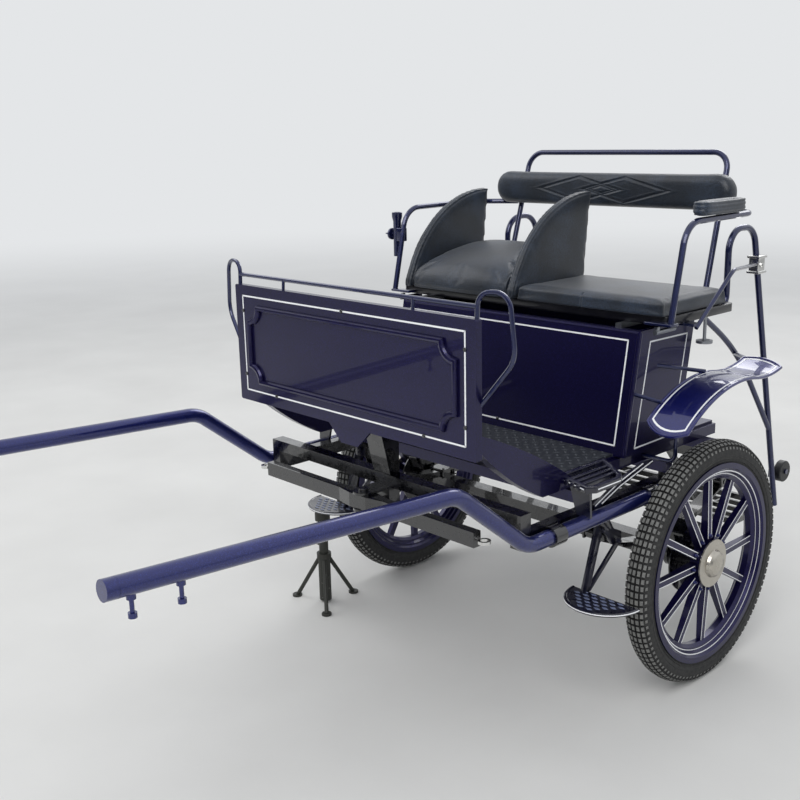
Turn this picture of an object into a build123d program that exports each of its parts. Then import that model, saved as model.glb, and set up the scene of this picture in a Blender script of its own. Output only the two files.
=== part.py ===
from build123d import *
import math
import os

# Two-wheeled driving gig. Millimetres, Z up, X across with the gig's left side at +X, and the horse's
# end at -Y. Sizes are written with Y measured from the axle; the finished parts are shifted along Y so
# that the origin is on the ground under the middle of the whole gig.

# Running gear
WHEEL_R = 361
WHEEL_X = 611
AXLE_Z = WHEEL_R
TYRE_HALF = 34
BEAD_R = 286
RIM_IN_R = 248
SPOKES = 12
HUB_BORE_R = 15.05
STUB_R = 15.0
DISC_R = 105
AXLE_BEAM = 50
SPRING_X = 455
SPRING_W = 44
EYE_Y, EYE_Z, EYE_R = 320, 495, 17.5
LEAF_T, SPRING_R = 7, 740

# Shafts and chassis
SHAFT_D, SHAFT_WALL = 42, 3
SHAFT_CAP, CAP_SEAM_WIDTH, CAP_SEAM_DEPTH = 24, 1, 0.5
SHAFT_X = 536
TIP_X, TIP_Y, TIP_Z = 522, -1830, 833
PEAK_Y, PEAK_Z = -958, 788
LOW_Y, RAIL_Z = -707, 590
SHAFT_REAR_Y = 300
RAIL_X0, RAIL_X1 = 478, 512
RAIL_H = 40
CROSS_Y0, CROSS_Y1 = -705, -665
CROSS_Z0, CROSS_Z1 = 628, 662
TREE_Y, TREE_Z, TREE_HALF = -775, 600, 430
PIVOT_R = 8

# Body
BODY_HALF = 475
PAN_HALF = 440
PAN_Z0, PAN_Z1 = 686, 694
BEARER_YS = (-430, -48, 230)
MAT_T = 6
TOE_Y, TOE_Z = -455, 694
BOARD_Y0, BOARD_Y1 = -832, -812
BOARD_Z0, BOARD_Z1, BOARD_HALF = 824, 1170, 482
TOE_TOP_Z = 868
BOX_Y0, BOX_Y1, BOX_TOP = -221, 50, 1045
RAKE = 0.18
PANEL_T = 18

# Seat
TRAY_Z0, TRAY_Z1, TRAY_HALF = 1058, 1083, 530
TRAY_Y0, TRAY_Y1 = -160, 240
CUSHION_TOP = 1127
ROLL_Y, ROLL_Z, ROLL_H, ROLL_T, ROLL_HALF = 334, 1404, 92, 58, 461
ARM_X = 549

# Rear bars, guards and steps
HOOP_X = 444
HOOP_D = 20
BAR_TOP_Z, BAR_TOP_Y, BAR_LOW_Y, BAR_LOW_Z = 1284, 482, 735, 300
ROLLER_R, ROLLER_Z = 37, 420
GUARD_X0, GUARD_X1 = 545, 677
STEP_R, STEP_X, STEP_Y, STEP_Z = 105, 555, -405, 356
STAND_X, STAND_Y = -590, -457
FOOT_REACH, FOOT_R = 115, 17
LEG_ANGLES = (82, 202, 322)

# The gig reaches from the shaft tips to the backs of the rollers, and from a foot of the stand on its right
# to the mudguard on its left
ROLLER_Y = BAR_TOP_Y + (BAR_TOP_Z - ROLLER_Z) / (BAR_TOP_Z - BAR_LOW_Z) * (BAR_LOW_Y - BAR_TOP_Y) + 54
AXLE_Y = -(TIP_Y + ROLLER_Y + ROLLER_R) / 2
CENTRE_X = -(GUARD_X1 + STAND_X + FOOT_REACH * math.cos(math.radians(LEG_ANGLES[1])) - FOOT_R) / 2


def block(x0, x1, y0, y1, z0, z1):
    """A block between two corners."""
    return Pos((x0 + x1) / 2, (y0 + y1) / 2, (z0 + z1) / 2) * Box(x1 - x0, y1 - y0, z1 - z0)


def rod(start, end, diameter):
    """A straight round bar."""
    run = Vector(*end) - Vector(*start)
    return extrude(Plane(origin=start, z_dir=run) * Circle(diameter / 2), amount=run.length)


def bent_tube(corners, bends, diameter):
    """A round bar bent at its inner corners, with one bend radius for each."""
    path = FilletPolyline(*corners, radius=bends)
    return sweep(Plane(origin=path @ 0, z_dir=path % 0) * Circle(diameter / 2), path=path)


def side_plate(outline, x0, x1):
    """A plate cut to an outline of (y, z) corners, from x0 to x1."""
    face = make_face(Polyline(*outline, close=True))
    return extrude(Plane.YZ.offset(x0) * face, amount=x1 - x0)


def turned(outline):
    """A ring turned about the X axis from an outline of (x, radius) corners."""
    return revolve(Plane.XZ * make_face(Polyline(*outline, close=True)), axis=Axis.X)


def pair(piece):
    """A piece of the left side with its mirror image."""
    return piece + mirror(piece, about=Plane.YZ)


def on_left(piece):
    """Moves a wheel piece, built about the X axis, to the left wheel's place."""
    return Pos(WHEEL_X, 0, AXLE_Z) * piece


def raked(y, z):
    """The body's Y at a height: its upright edges lean back as they rise."""
    return y + (z - PAN_Z1) * RAKE


def bar_y(z):
    """The Y of the rear bar's centre line at a height."""
    share = (BAR_TOP_Z - z) / (BAR_TOP_Z - BAR_LOW_Z)
    return BAR_TOP_Y + share * (BAR_LOW_Y - BAR_TOP_Y)


def tyre():
    """An open-bellied tyre with a crowned tread."""
    outside = Polyline((-27, BEAD_R), (-27, 300), (-TYRE_HALF, 318), (-32, 344)) + ThreePointArc(
        (-32, 344), (0, WHEEL_R), (32, 344)) + Polyline((32, 344), (TYRE_HALF, 318), (27, 300), (27, BEAD_R))
    inside = Polyline((27, BEAD_R), (19, BEAD_R), (26, 318)) + ThreePointArc(
        (26, 318), (0, 350), (-26, 318)) + Polyline((-26, 318), (-19, BEAD_R), (-27, BEAD_R))
    return revolve(Plane.XZ * make_face(outside + inside), axis=Axis.X)


def rim():
    """A ridged rim and its twelve flat spokes in one casting, bored for the hub."""
    ring = turned([(-33, 298), (-28, 298), (-28, BEAD_R), (28, BEAD_R), (28, 298), (33, 298), (33, 282),
                   (26, 276), (26, 270), (17, 264), (17, 257), (9, RIM_IN_R), (-9, RIM_IN_R), (-17, 257),
                   (-17, 264), (-26, 270), (-26, 276), (-33, 282)])
    blade = extrude(Plane.XZ * make_face(Polyline((-10, 30), (16, 30), (8, 254), (-7, 254), close=True)),
                    amount=11, both=True)
    boss = turned([(-12, 30), (20, 30), (20, 58), (-12, 58)])
    wheel = ring + boss
    for spoke in range(SPOKES):
        wheel += Rot(spoke * 360 / SPOKES, 0, 0) * blade
    return wheel - turned([(-20, 0), (24, 0), (24, 34), (-20, 34)])


def hub():
    """The hub barrel with its front flange and the brake disc behind it."""
    return turned([(-52, HUB_BORE_R), (26, HUB_BORE_R), (26, 62), (20, 62), (20, 34), (-20, 34), (-20, 44),
                   (-48, 44), (-48, DISC_R), (-52, DISC_R)])


def hub_cap():
    """A flanged cap with a domed boss over the axle's end."""
    return turned([(26, 24), (26, 71), (30, 71), (32, 42), (40, 38), (46, 31), (50, 20), (52, 0), (47, 0),
                   (45, 17), (36, 24)])


def axle():
    """The cross beam, its stub axles and the brake carriers."""
    half = AXLE_BEAM / 2
    beam = block(-500, 500, -half, half, AXLE_Z - half, AXLE_Z + half)
    stub = Pos(0, 0, AXLE_Z) * turned([(499, 0), (499, 42), (512, 42), (512, 22), (553, 22), (553, STUB_R),
                                       (640, STUB_R), (640, 0)])
    carrier = Rot(25, 0, 0) * block(500, 512, -26, 26, 20, 112)
    return beam + pair(stub + Pos(0, 0, AXLE_Z) * carrier)


def calipers():
    """The brake calipers, each a slotted block astride its disc."""
    body = fillet(block(512, 586, -32, 32, 64, 122).edges().filter_by(Axis.X), 8)
    slot = block(553, 569, -40, 40, 50, DISC_R + 6)
    return pair(Pos(0, 0, AXLE_Z) * Rot(25, 0, 0) * (body - slot))


def springs():
    """Three-leaf springs with rolled eyes, bound to the axle."""
    seat_z = AXLE_Z + AXLE_BEAM / 2
    centre_z = seat_z + 4 + 3 * LEAF_T + SPRING_R
    leaves = None
    for reach, inside in ((EYE_Y + 2, SPRING_R), (215, SPRING_R + LEAF_T), (120, SPRING_R + 2 * LEAF_T)):
        outside = inside + LEAF_T
        high, low = (centre_z - math.sqrt(r * r - reach * reach) for r in (inside, outside))
        outline = ThreePointArc((-reach, low), (0, centre_z - outside), (reach, low))
        outline += Line((reach, low), (reach, high))
        outline += ThreePointArc((reach, high), (0, centre_z - inside), (-reach, high))
        outline += Line((-reach, high), (-reach, low))
        leaf = extrude(Plane.YZ.offset(SPRING_X - SPRING_W / 2) * make_face(outline), amount=SPRING_W)
        leaves = leaf if leaves is None else leaves + leaf
    x0, x1 = SPRING_X - SPRING_W / 2, SPRING_X + SPRING_W / 2
    saddle = block(x0 - 11, x1 + 11, -38, 38, seat_z, seat_z + 4)
    saddle += block(x0 - 11, x1 + 11, -33, 33, seat_z + 24, seat_z + 31)
    for y in (-27, 27):
        for x in (x0 - 6, x1 + 6):
            saddle += rod((x, y, seat_z), (x, y, seat_z + 37), 8)
    spring = leaves + saddle
    for y in (-EYE_Y, EYE_Y):
        spring += rod((x0, y, EYE_Z), (x1, y, EYE_Z), 2 * EYE_R)
        spring -= rod((x0 - 1, y, EYE_Z), (x1 + 1, y, EYE_Z), 16)
    return pair(spring)


def spring_hangers():
    """Brackets that carry the spring eyes under the rails, with their pins."""
    hanger = None
    x0, x1 = SPRING_X - SPRING_W / 2 - 1, SPRING_X + SPRING_W / 2 + 1
    bottom = RAIL_Z - RAIL_H / 2
    for y in (-EYE_Y, EYE_Y):
        cheek = [(y - 28, bottom), (y + 28, bottom), (y + 18, EYE_Z - 16), (y - 18, EYE_Z - 16)]
        one = side_plate(cheek, x0 - 6, x0) + side_plate(cheek, x1, x1 + 6)
        one += block(x0 - 6, RAIL_X1, y - 28, y + 28, bottom - 8, bottom)
        one += rod((x0 - 8, y, EYE_Z), (x1 + 8, y, EYE_Z), 15.9)
        hanger = one if hanger is None else hanger + one
    return pair(hanger)


def shaft_bar():
    """The left shaft's outside, with its swan-neck down to the chassis."""
    return bent_tube([(TIP_X, TIP_Y, TIP_Z), (SHAFT_X, PEAK_Y, PEAK_Z), (SHAFT_X, LOW_Y, RAIL_Z),
                      (SHAFT_X, SHAFT_REAR_Y, RAIL_Z)], [100, 100], SHAFT_D)


def shaft():
    """The left shaft: a tube, closed at its tip by an end cap that a fine seam parts from it."""
    tip, peak = Vector(TIP_X, TIP_Y, TIP_Z), Vector(SHAFT_X, PEAK_Y, PEAK_Z)
    back = (peak - tip).normalized()
    inside = bent_tube([tip + back * 2 * SHAFT_WALL, peak, (SHAFT_X, LOW_Y, RAIL_Z),
                        (SHAFT_X, SHAFT_REAR_Y + 5, RAIL_Z)], [100, 100], SHAFT_D - 2 * SHAFT_WALL)
    seam_ring = Circle(SHAFT_D / 2 + 1) - Circle(SHAFT_D / 2 - CAP_SEAM_DEPTH)
    seam = extrude(Plane(origin=tip + back * SHAFT_CAP, z_dir=back) * seam_ring, amount=CAP_SEAM_WIDTH)
    return shaft_bar() - inside - seam


def shaft_studs(shafts):
    """Knobbed studs under the shaft tips, for the harness."""
    studs = None
    for y, top in ((-1776, 815), (-1675, 810)):
        x = TIP_X + (y - TIP_Y) / (PEAK_Y - TIP_Y) * (SHAFT_X - TIP_X)
        stud = (rod((x, y, top - 50), (x, y, top), 9) + rod((x, y, top - 14), (x, y, top), 18)
                + rod((x, y, top - 50), (x, y, top - 40), 17))
        studs = stud if studs is None else studs + stud
    return pair(studs) - shafts


def chassis_rails():
    """Side rails with the saddles that hold the shafts."""
    low, high = RAIL_Z - RAIL_H / 2, RAIL_Z + RAIL_H / 2
    side = block(RAIL_X0, RAIL_X1, CROSS_Y1, SHAFT_REAR_Y, low, high)
    side += block(RAIL_X0, RAIL_X1, CROSS_Y0, CROSS_Y1, low, CROSS_Z1)
    for y in (-600, -180, 180):
        side += Pos(SHAFT_X, y, RAIL_Z) * Rot(90, 0, 0) * (Cylinder(27, 44) - Cylinder(21.1, 50))
    return pair(side)


def front_crossmember():
    """Front cross member with the clevis and the fixed bolt of the draught bar."""
    cross = block(-RAIL_X0, RAIL_X0, CROSS_Y0, CROSS_Y1, CROSS_Z0, CROSS_Z1)
    cross += block(-30, 30, CROSS_Y0, CROSS_Y1, 572, CROSS_Z0)
    for low in (572, 621):
        cross += block(-30, 30, TREE_Y, CROSS_Y0, low, low + 7) + Pos(0, TREE_Y, low + 3.5) * Cylinder(30, 7)
    for low in (564, 628):
        cross += rod((0, TREE_Y, low), (0, TREE_Y, low + 8), 28)
    return cross + rod((0, TREE_Y, 566), (0, TREE_Y, 634), 2 * PIVOT_R)


def rear_crossmember():
    """Rear cross member between the side rails."""
    return block(-RAIL_X0, RAIL_X0, 262, 296, RAIL_Z - 16, RAIL_Z + 16)


def swingletree():
    """The draught bar that swings on the front cross member."""
    outline = [(-TREE_HALF, -13), (-90, -13), (-34, -24), (34, -24), (90, -13), (TREE_HALF, -13),
               (TREE_HALF, 13), (90, 13), (34, 24), (-34, 24), (-90, 13), (-TREE_HALF, 13)]
    bar = extrude(make_face(Polyline(*outline, close=True)), amount=20.5, both=True)
    bar -= Cylinder(PIVOT_R + 0.05, 60)
    return Pos(0, TREE_Y, TREE_Z) * bar


def trace_hooks():
    """Eyes at the ends of the draught bar."""
    eye = Cylinder(17, 8) - Cylinder(10, 10)
    stem = rod((TREE_HALF, TREE_Y, TREE_Z), (TREE_HALF + 14, TREE_Y, TREE_Z), 10)
    ring = Pos(TREE_HALF + 24, TREE_Y, TREE_Z) * eye
    return pair(ring + (stem - Pos(TREE_HALF + 24, TREE_Y, TREE_Z) * Cylinder(12, 30)))


def front_mount():
    """Twin plates that carry the front of the body on the cross member."""
    plate = side_plate([(CROSS_Y0 + 2, CROSS_Z1), (CROSS_Y1 - 2, CROSS_Z1), (-668, 787), (-742, 823)], 26, 34)
    brace = side_plate([(CROSS_Y0 + 2, CROSS_Z1), (-694, CROSS_Z1), (-728, 816), (-742, 823)], -26, 26)
    return pair(plate) + brace


def body_sills():
    """Two sills under the floor."""
    return pair(block(420, 452, -450, 300, PAN_Z0 - 32, PAN_Z0))


def body_bearers():
    """Three bearers under the sills."""
    bearers = None
    for y in BEARER_YS:
        bearer = block(-RAIL_X1, RAIL_X1, y - 16, y + 16, PAN_Z0 - 64, PAN_Z0 - 32)
        bearers = bearer if bearers is None else bearers + bearer
    return bearers


def body_mounts():
    """Rubber blocks between the bearers and the rails."""
    feet = None
    top, bottom = PAN_Z0 - 64, RAIL_Z + RAIL_H / 2
    for y in BEARER_YS:
        foot = rod((495, y, bottom), (495, y, top), 32)
        feet = foot if feet is None else feet + foot
    return pair(feet)


def floor_pan():
    """Floor sheet with the sloping toe board and its curved side valances."""
    sheet = side_plate([(300, PAN_Z0), (300, PAN_Z1), (TOE_Y, PAN_Z1), (BOARD_Y1, TOE_TOP_Z),
                        (BOARD_Y1, TOE_TOP_Z - 10), (TOE_Y + 2, PAN_Z0)], -PAN_HALF, PAN_HALF)
    top = ThreePointArc((BOARD_Y1, 886), (-640, 808), (TOE_Y + 3, PAN_Z1 + 2))
    low = ThreePointArc((-570, 668), (-700, 748), (BOARD_Y1, 846))
    edge = (top + Polyline((TOE_Y + 3, PAN_Z1 + 2), (TOE_Y + 3, 668), (-570, 668)) + low
            + Line((BOARD_Y1, 846), (BOARD_Y1, 886)))
    valance = extrude(Plane.YZ.offset(PAN_HALF) * make_face(edge), amount=32)
    return sheet + pair(valance)


def floor_mat():
    """Rubber mat over the floor and toe board."""
    front = raked(BOX_Y0, PAN_Z1) - 1
    lift = MAT_T * 1.11
    outline = [(front, PAN_Z1), (front, PAN_Z1 + MAT_T), (TOE_Y - 1, PAN_Z1 + MAT_T),
               (BOARD_Y1 + 1, TOE_TOP_Z + lift - 0.5), (BOARD_Y1 + 1, TOE_TOP_Z - 0.5), (TOE_Y, PAN_Z1)]
    return side_plate(outline, -PAN_HALF + 2, PAN_HALF - 2)


def front_board():
    """The upright splash board with its raised moulding, hollow at the corners."""
    board = block(-BOARD_HALF, BOARD_HALF, BOARD_Y0, BOARD_Y1, BOARD_Z0, BOARD_Z1)
    board = fillet(board.edges().filter_by(Axis.Y), 6)
    half, low, high, scoop = 421, 884, 1112, 45
    panel = block(-half, half, BOARD_Y0 - 5, BOARD_Y0, low, high)
    recess = block(-half + 9, half - 9, BOARD_Y0 - 6, BOARD_Y0 + 1, low + 9, high - 9)
    for x in (-half, half):
        for z in (low, high):
            corner = Pos(x, BOARD_Y0, z) * Rot(90, 0, 0) * Cylinder(scoop, 20)
            panel -= corner
            recess -= Pos(x, BOARD_Y0, z) * Rot(90, 0, 0) * Cylinder(scoop + 9, 20)
    board += panel - recess
    gusset = extrude(Plane.XZ.offset(-BOARD_Y1) * make_face(Polyline(
        (-90, BOARD_Z0), (90, BOARD_Z0), (34, 770), (-34, 770), close=True)), amount=8)
    return board + gusset


def board_rail():
    """Slim rail over the board, on five short posts."""
    y, z = -805, 1198
    rail = rod((-456, y, z), (456, y, z), 12)
    for x in (-450, -262, 0, 262, 450):
        rail += rod((x, y + 1, BOARD_Z1), (x, y + 1, z), 9)
    return rail


def grab_hoops():
    """Hand hoops at the ends of the board."""
    x = 488
    corners = [(x, -822, 1120), (x, -822, 1230), (x, -716, 1230), (x, -716, 1005), (x, -822, 950)]
    hoop = bent_tube(corners, [48, 48, 60], 12)
    tabs = block(BOARD_HALF, x, -828, -816, 1114, 1126) + block(BOARD_HALF, x, -828, -816, 944, 956)
    return pair(hoop + tabs) - block(-BOARD_HALF, BOARD_HALF, -900, -700, 900, 1300)


def box_panel(y0, y1, x0, x1):
    """A raked wall of the seat box between two depths and two widths."""
    return side_plate([(raked(y0, PAN_Z1), PAN_Z1), (raked(y1, PAN_Z1), PAN_Z1), (raked(y1, BOX_TOP), BOX_TOP),
                       (raked(y0, BOX_TOP), BOX_TOP)], x0, x1)


def box_front():
    """Front wall of the seat box."""
    return box_panel(BOX_Y0, BOX_Y0 + PANEL_T, -BODY_HALF, BODY_HALF)


def box_sides():
    """Side walls of the seat box."""
    return pair(box_panel(BOX_Y0 + PANEL_T, BOX_Y1 - PANEL_T, BODY_HALF - PANEL_T, BODY_HALF))


def box_back():
    """Rear wall of the seat box."""
    return box_panel(BOX_Y1 - PANEL_T, BOX_Y1, -BODY_HALF, BODY_HALF)


def seat_slides():
    """Slide bars that let the seat move for balance, with their clamps and hand knobs."""
    slide = block(384, 404, -150, 225, BOX_TOP, TRAY_Z0)
    clamp = rod((508, -140, 1043), (508, -45, 1043), 14)
    clamp += block(503, 513, -136, -124, 1043, TRAY_Z0) + block(503, 513, -62, -50, 1043, TRAY_Z0)
    knob = rod((508, 116, 985), (508, 116, TRAY_Z0), 10) + rod((508, 116, 977), (508, 116, 985), 48)
    return pair(slide + clamp + knob)


def seat_tray():
    """The board that carries both cushions."""
    tray = block(-TRAY_HALF, TRAY_HALF, TRAY_Y0, TRAY_Y1, TRAY_Z0, TRAY_Z1)
    return fillet(tray.edges().filter_by(Axis.Z), 22)


def passenger_cushion():
    """Flat cushion on the left half of the seat."""
    pad = block(8, 526, -128, 212, TRAY_Z1, CUSHION_TOP)
    return fillet(pad.edges().filter_by(Axis.Z), 14)


def driver_cushion():
    """Wedge cushion on the right half, high at the back."""
    outline = Polyline((206, TRAY_Z1), (206, 1222)) + ThreePointArc((206, 1222), (0, 1190), (-158, TRAY_Z1 + 14))
    outline += Polyline((-158, TRAY_Z1 + 14), (-158, TRAY_Z1), (206, TRAY_Z1))
    return extrude(Plane.YZ.offset(-417) * make_face(outline), amount=374)


def driver_wings():
    """Padded side wings of the driver's seat."""
    outline = Polyline((-158, TRAY_Z1), (200, TRAY_Z1), (228, 1398)) + ThreePointArc(
        (228, 1398), (15, 1300), (-158, TRAY_Z1 + 14)) + Line((-158, TRAY_Z1 + 14), (-158, TRAY_Z1))
    left = extrude(Plane.YZ.offset(-40) * make_face(outline), amount=40)
    right = extrude(Plane.YZ.offset(-460) * make_face(outline), amount=40)
    return left + right


def backrest_roll():
    """Padded back roll."""
    roll = block(-ROLL_HALF, ROLL_HALF, ROLL_Y - ROLL_T / 2, ROLL_Y + ROLL_T / 2, ROLL_Z - ROLL_H / 2,
                 ROLL_Z + ROLL_H / 2)
    return fillet(roll.edges().filter_by(Axis.X), 26)


def backrest_frame(tray):
    """The bow that holds the back roll, rising from the rear of the tray."""
    bow = bent_tube([(400, 279, 1052), (392, 405, 1511), (-392, 405, 1511), (-400, 279, 1052)], [55, 55], 18)
    foot = block(386, 414, TRAY_Y1 - 12, 296, TRAY_Z0 - 8, TRAY_Z0) + block(386, 414, TRAY_Y1, 296, TRAY_Z0, TRAY_Z1)
    return bow + pair(foot) - tray


def armrest(tray, bow):
    """The left arm tube, from the tray's front corner back to the bow."""
    tube = bent_tube([(ARM_X, -120, 1070), (ARM_X, -28, 1338), (ARM_X, 268, 1343), (406, 352, 1343)],
                     [62, 45], 18)
    foot = block(500, ARM_X + 6, -134, -108, 1060, 1078)
    return tube + foot - tray - bow


def arm_pad():
    """Padded top of the left arm, on its tube."""
    pad = block(ARM_X - 27, ARM_X + 27, -32, 240, 1350, 1388)
    return fillet(pad.edges().filter_by(Axis.Z), 24)


def whip_socket(arm):
    """Open-topped socket on the right arm, with its clamp and set screw."""
    x, y = -ARM_X - 34, -92
    cup = Pos(x, y, 1250) * (Cylinder(15, 150) - Pos(0, 0, 8) * Cylinder(11, 150))
    cup += block(x + 8, -ARM_X + 4, y - 9, y + 14, 1228, 1252)
    cup += rod((x, y - 12, 1240), (x, y - 34, 1240), 8) + rod((x, y - 34, 1240), (x, y - 42, 1240), 20)
    cup -= Pos(x, y, 1258) * Cylinder(11, 150)
    return cup - arm


def rear_frame(tray):
    """The left hoop bar that runs from the seat down to the rear step, with its curved brace."""
    bar = bent_tube([(HOOP_X, 200, 1046), (HOOP_X, 338, 1046), (HOOP_X, 338, BAR_TOP_Z),
                     (HOOP_X, BAR_TOP_Y, BAR_TOP_Z), (HOOP_X, BAR_LOW_Y, BAR_LOW_Z)], [42, 68, 68], HOOP_D)
    brace = bent_tube([(HOOP_X, 175, 1056), (HOOP_X, 420, 900), (HOOP_X, bar_y(590), 590)], [850], 18)
    y = bar_y(ROLLER_Z)
    arm = side_plate([(y, ROLLER_Z - 14), (ROLLER_Y + 8, ROLLER_Z - 12), (ROLLER_Y + 8, ROLLER_Z + 12),
                      (y, ROLLER_Z + 14)], 430, 438)
    pin = rod((430, ROLLER_Y, ROLLER_Z), (470, ROLLER_Y, ROLLER_Z), 10)
    pin += rod((465, ROLLER_Y, ROLLER_Z), (470, ROLLER_Y, ROLLER_Z), 18)
    pads = block(432, 456, 196, 226, 1046, TRAY_Z0)
    return bar + brace + arm + pin + pads - tray


def roller():
    """Rubber-tyred roller behind the rear bar, on which the gig tips up for storing."""
    wheel = turned([(-13, 5.05), (13, 5.05), (13, ROLLER_R - 3), (10, ROLLER_R), (-10, ROLLER_R),
                    (-13, ROLLER_R - 3)])
    return Pos(451.5, ROLLER_Y, ROLLER_Z) * wheel


def bar_clamp():
    """Bright clamp block on the left rear bar."""
    z = 1162
    clamp = block(HOOP_X - 22, HOOP_X + 22, bar_y(z) - 24, bar_y(z) + 24, z - 27, z + 27)
    return fillet(clamp.edges().filter_by(Axis.Z), 5)


def seat_stay():
    """The left stay from the clamp block to the side of the seat."""
    stay = bent_tube([(HOOP_X + 8, 492, 1164), (558, 172, 1188), (558, -14, 1044)], [60], 12)
    lug = block(500, 560, -30, 2, 1050, TRAY_Z0)
    return stay + lug


def mudguard():
    """The left guard: a sheet in an S curve with a rolled edge."""
    front = ThreePointArc((-222, 800), (-128, 868), (20, 903))
    back = TangentArc((20, 903), (278, 918), tangent=front % 1)
    sheet = extrude(Plane.YZ.offset(GUARD_X0) * trace(front + back, line_width=4), amount=GUARD_X1 - GUARD_X0)
    return sheet


def guard_stay():
    """Stays that hold the left guard to the body and the rear frame."""
    stays = rod((470, raked(BOX_Y0, 866) + 12, 866), (560, -148, 852), 12)
    stays += rod((470, raked(BOX_Y1, 905) - 14, 905), (600, 92, 892), 12)
    stays += rod((HOOP_X, 405, 892), (600, 240, 902), 12)
    stays += rod((468, -48, 640), (590, -120, 868), 14)
    return stays


def upper_step():
    """Slatted step beside the floor, with its bracket down to the shaft."""
    step = block(473, 576, -486, -250, 690, 702) + block(PAN_HALF, 473, -440, -262, 690, 702)
    for slot in range(4):
        step -= block(484 + slot * 23, 496 + slot * 23, -468, -268, 680, 710)
    bracket = side_plate([(-484, 690), (-476, 690), (-488, 598), (-496, 598)], 520, 552)
    return step + bracket


def lower_step():
    """Half-moon mounting step on two arms below the spring hanger."""
    disc = Pos(STEP_X, STEP_Y, STEP_Z + 2.5) * Cylinder(STEP_R, 5)
    plate = disc - block(STEP_X - 150, STEP_X + 150, STEP_Y, STEP_Y + 150, STEP_Z - 5, STEP_Z + 10)
    rim = Pos(STEP_X, STEP_Y, STEP_Z + 1) * (Cylinder(STEP_R + 4, 12) - Cylinder(STEP_R, 20))
    rim -= block(STEP_X - 150, STEP_X + 150, STEP_Y, STEP_Y + 150, STEP_Z - 20, STEP_Z + 20)
    arms = rod((492, -352, 480), (484, STEP_Y - 12, STEP_Z + 4), 14)
    arms += rod((492, -300, 480), (512, STEP_Y - 8, STEP_Z + 4), 14)
    head = block(483, 497, -362, -290, 470, 490)
    return plate + rim + arms + head


def rear_step():
    """Slatted foot plate between the rear bars, on two struts from the chassis."""
    x1 = HOOP_X - HOOP_D / 2
    frame = block(-x1, x1, 484, 500, 290, 310) + block(-x1, x1, 720, 736, 290, 310)
    for x in (-x1, x1 - 16):
        frame += block(x, x + 16, 484, 736, 290, 310)
    for y in (543, 602, 661):
        frame += block(-x1, x1, y - 5, y + 5, 292, 308)
    for x in (-285, -142, 0, 142, 285):
        frame += block(x - 4, x + 4, 484, 736, 294, 306)
    return frame


def step_struts():
    """Two flat struts from the rear cross member down to the foot plate."""
    return pair(side_plate([(262, 574), (290, 574), (506, 310), (484, 310)], 300, 312))


def stand():
    """Screw tripod that holds up the right step when the gig is parked."""
    pillar = Pos(STAND_X, STAND_Y, 0) * (Pos(0, 0, 86) * Cylinder(21, 156) + Pos(0, 0, 172) * Cylinder(25, 20)
                                         + Pos(0, 0, 245) * Cylinder(16, 150) + Pos(0, 0, 329) * Cylinder(26, 54))
    lever = rod((STAND_X, STAND_Y, 205), (STAND_X - 62, STAND_Y - 30, 226), 8)
    legs = None
    for angle in LEG_ANGLES:
        c, s = math.cos(math.radians(angle)), math.sin(math.radians(angle))
        leg = rod((STAND_X + 20 * c, STAND_Y + 20 * s, 158),
                  (STAND_X + (FOOT_REACH - 2) * c, STAND_Y + (FOOT_REACH - 2) * s, 5), 14)
        leg += Pos(STAND_X + FOOT_REACH * c, STAND_Y + FOOT_REACH * s, 3.5) * Cylinder(FOOT_R, 7)
        legs = leg if legs is None else legs + leg
    return (pillar + lever + legs) - block(-900, 0, -900, 0, -20, 0)


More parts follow.
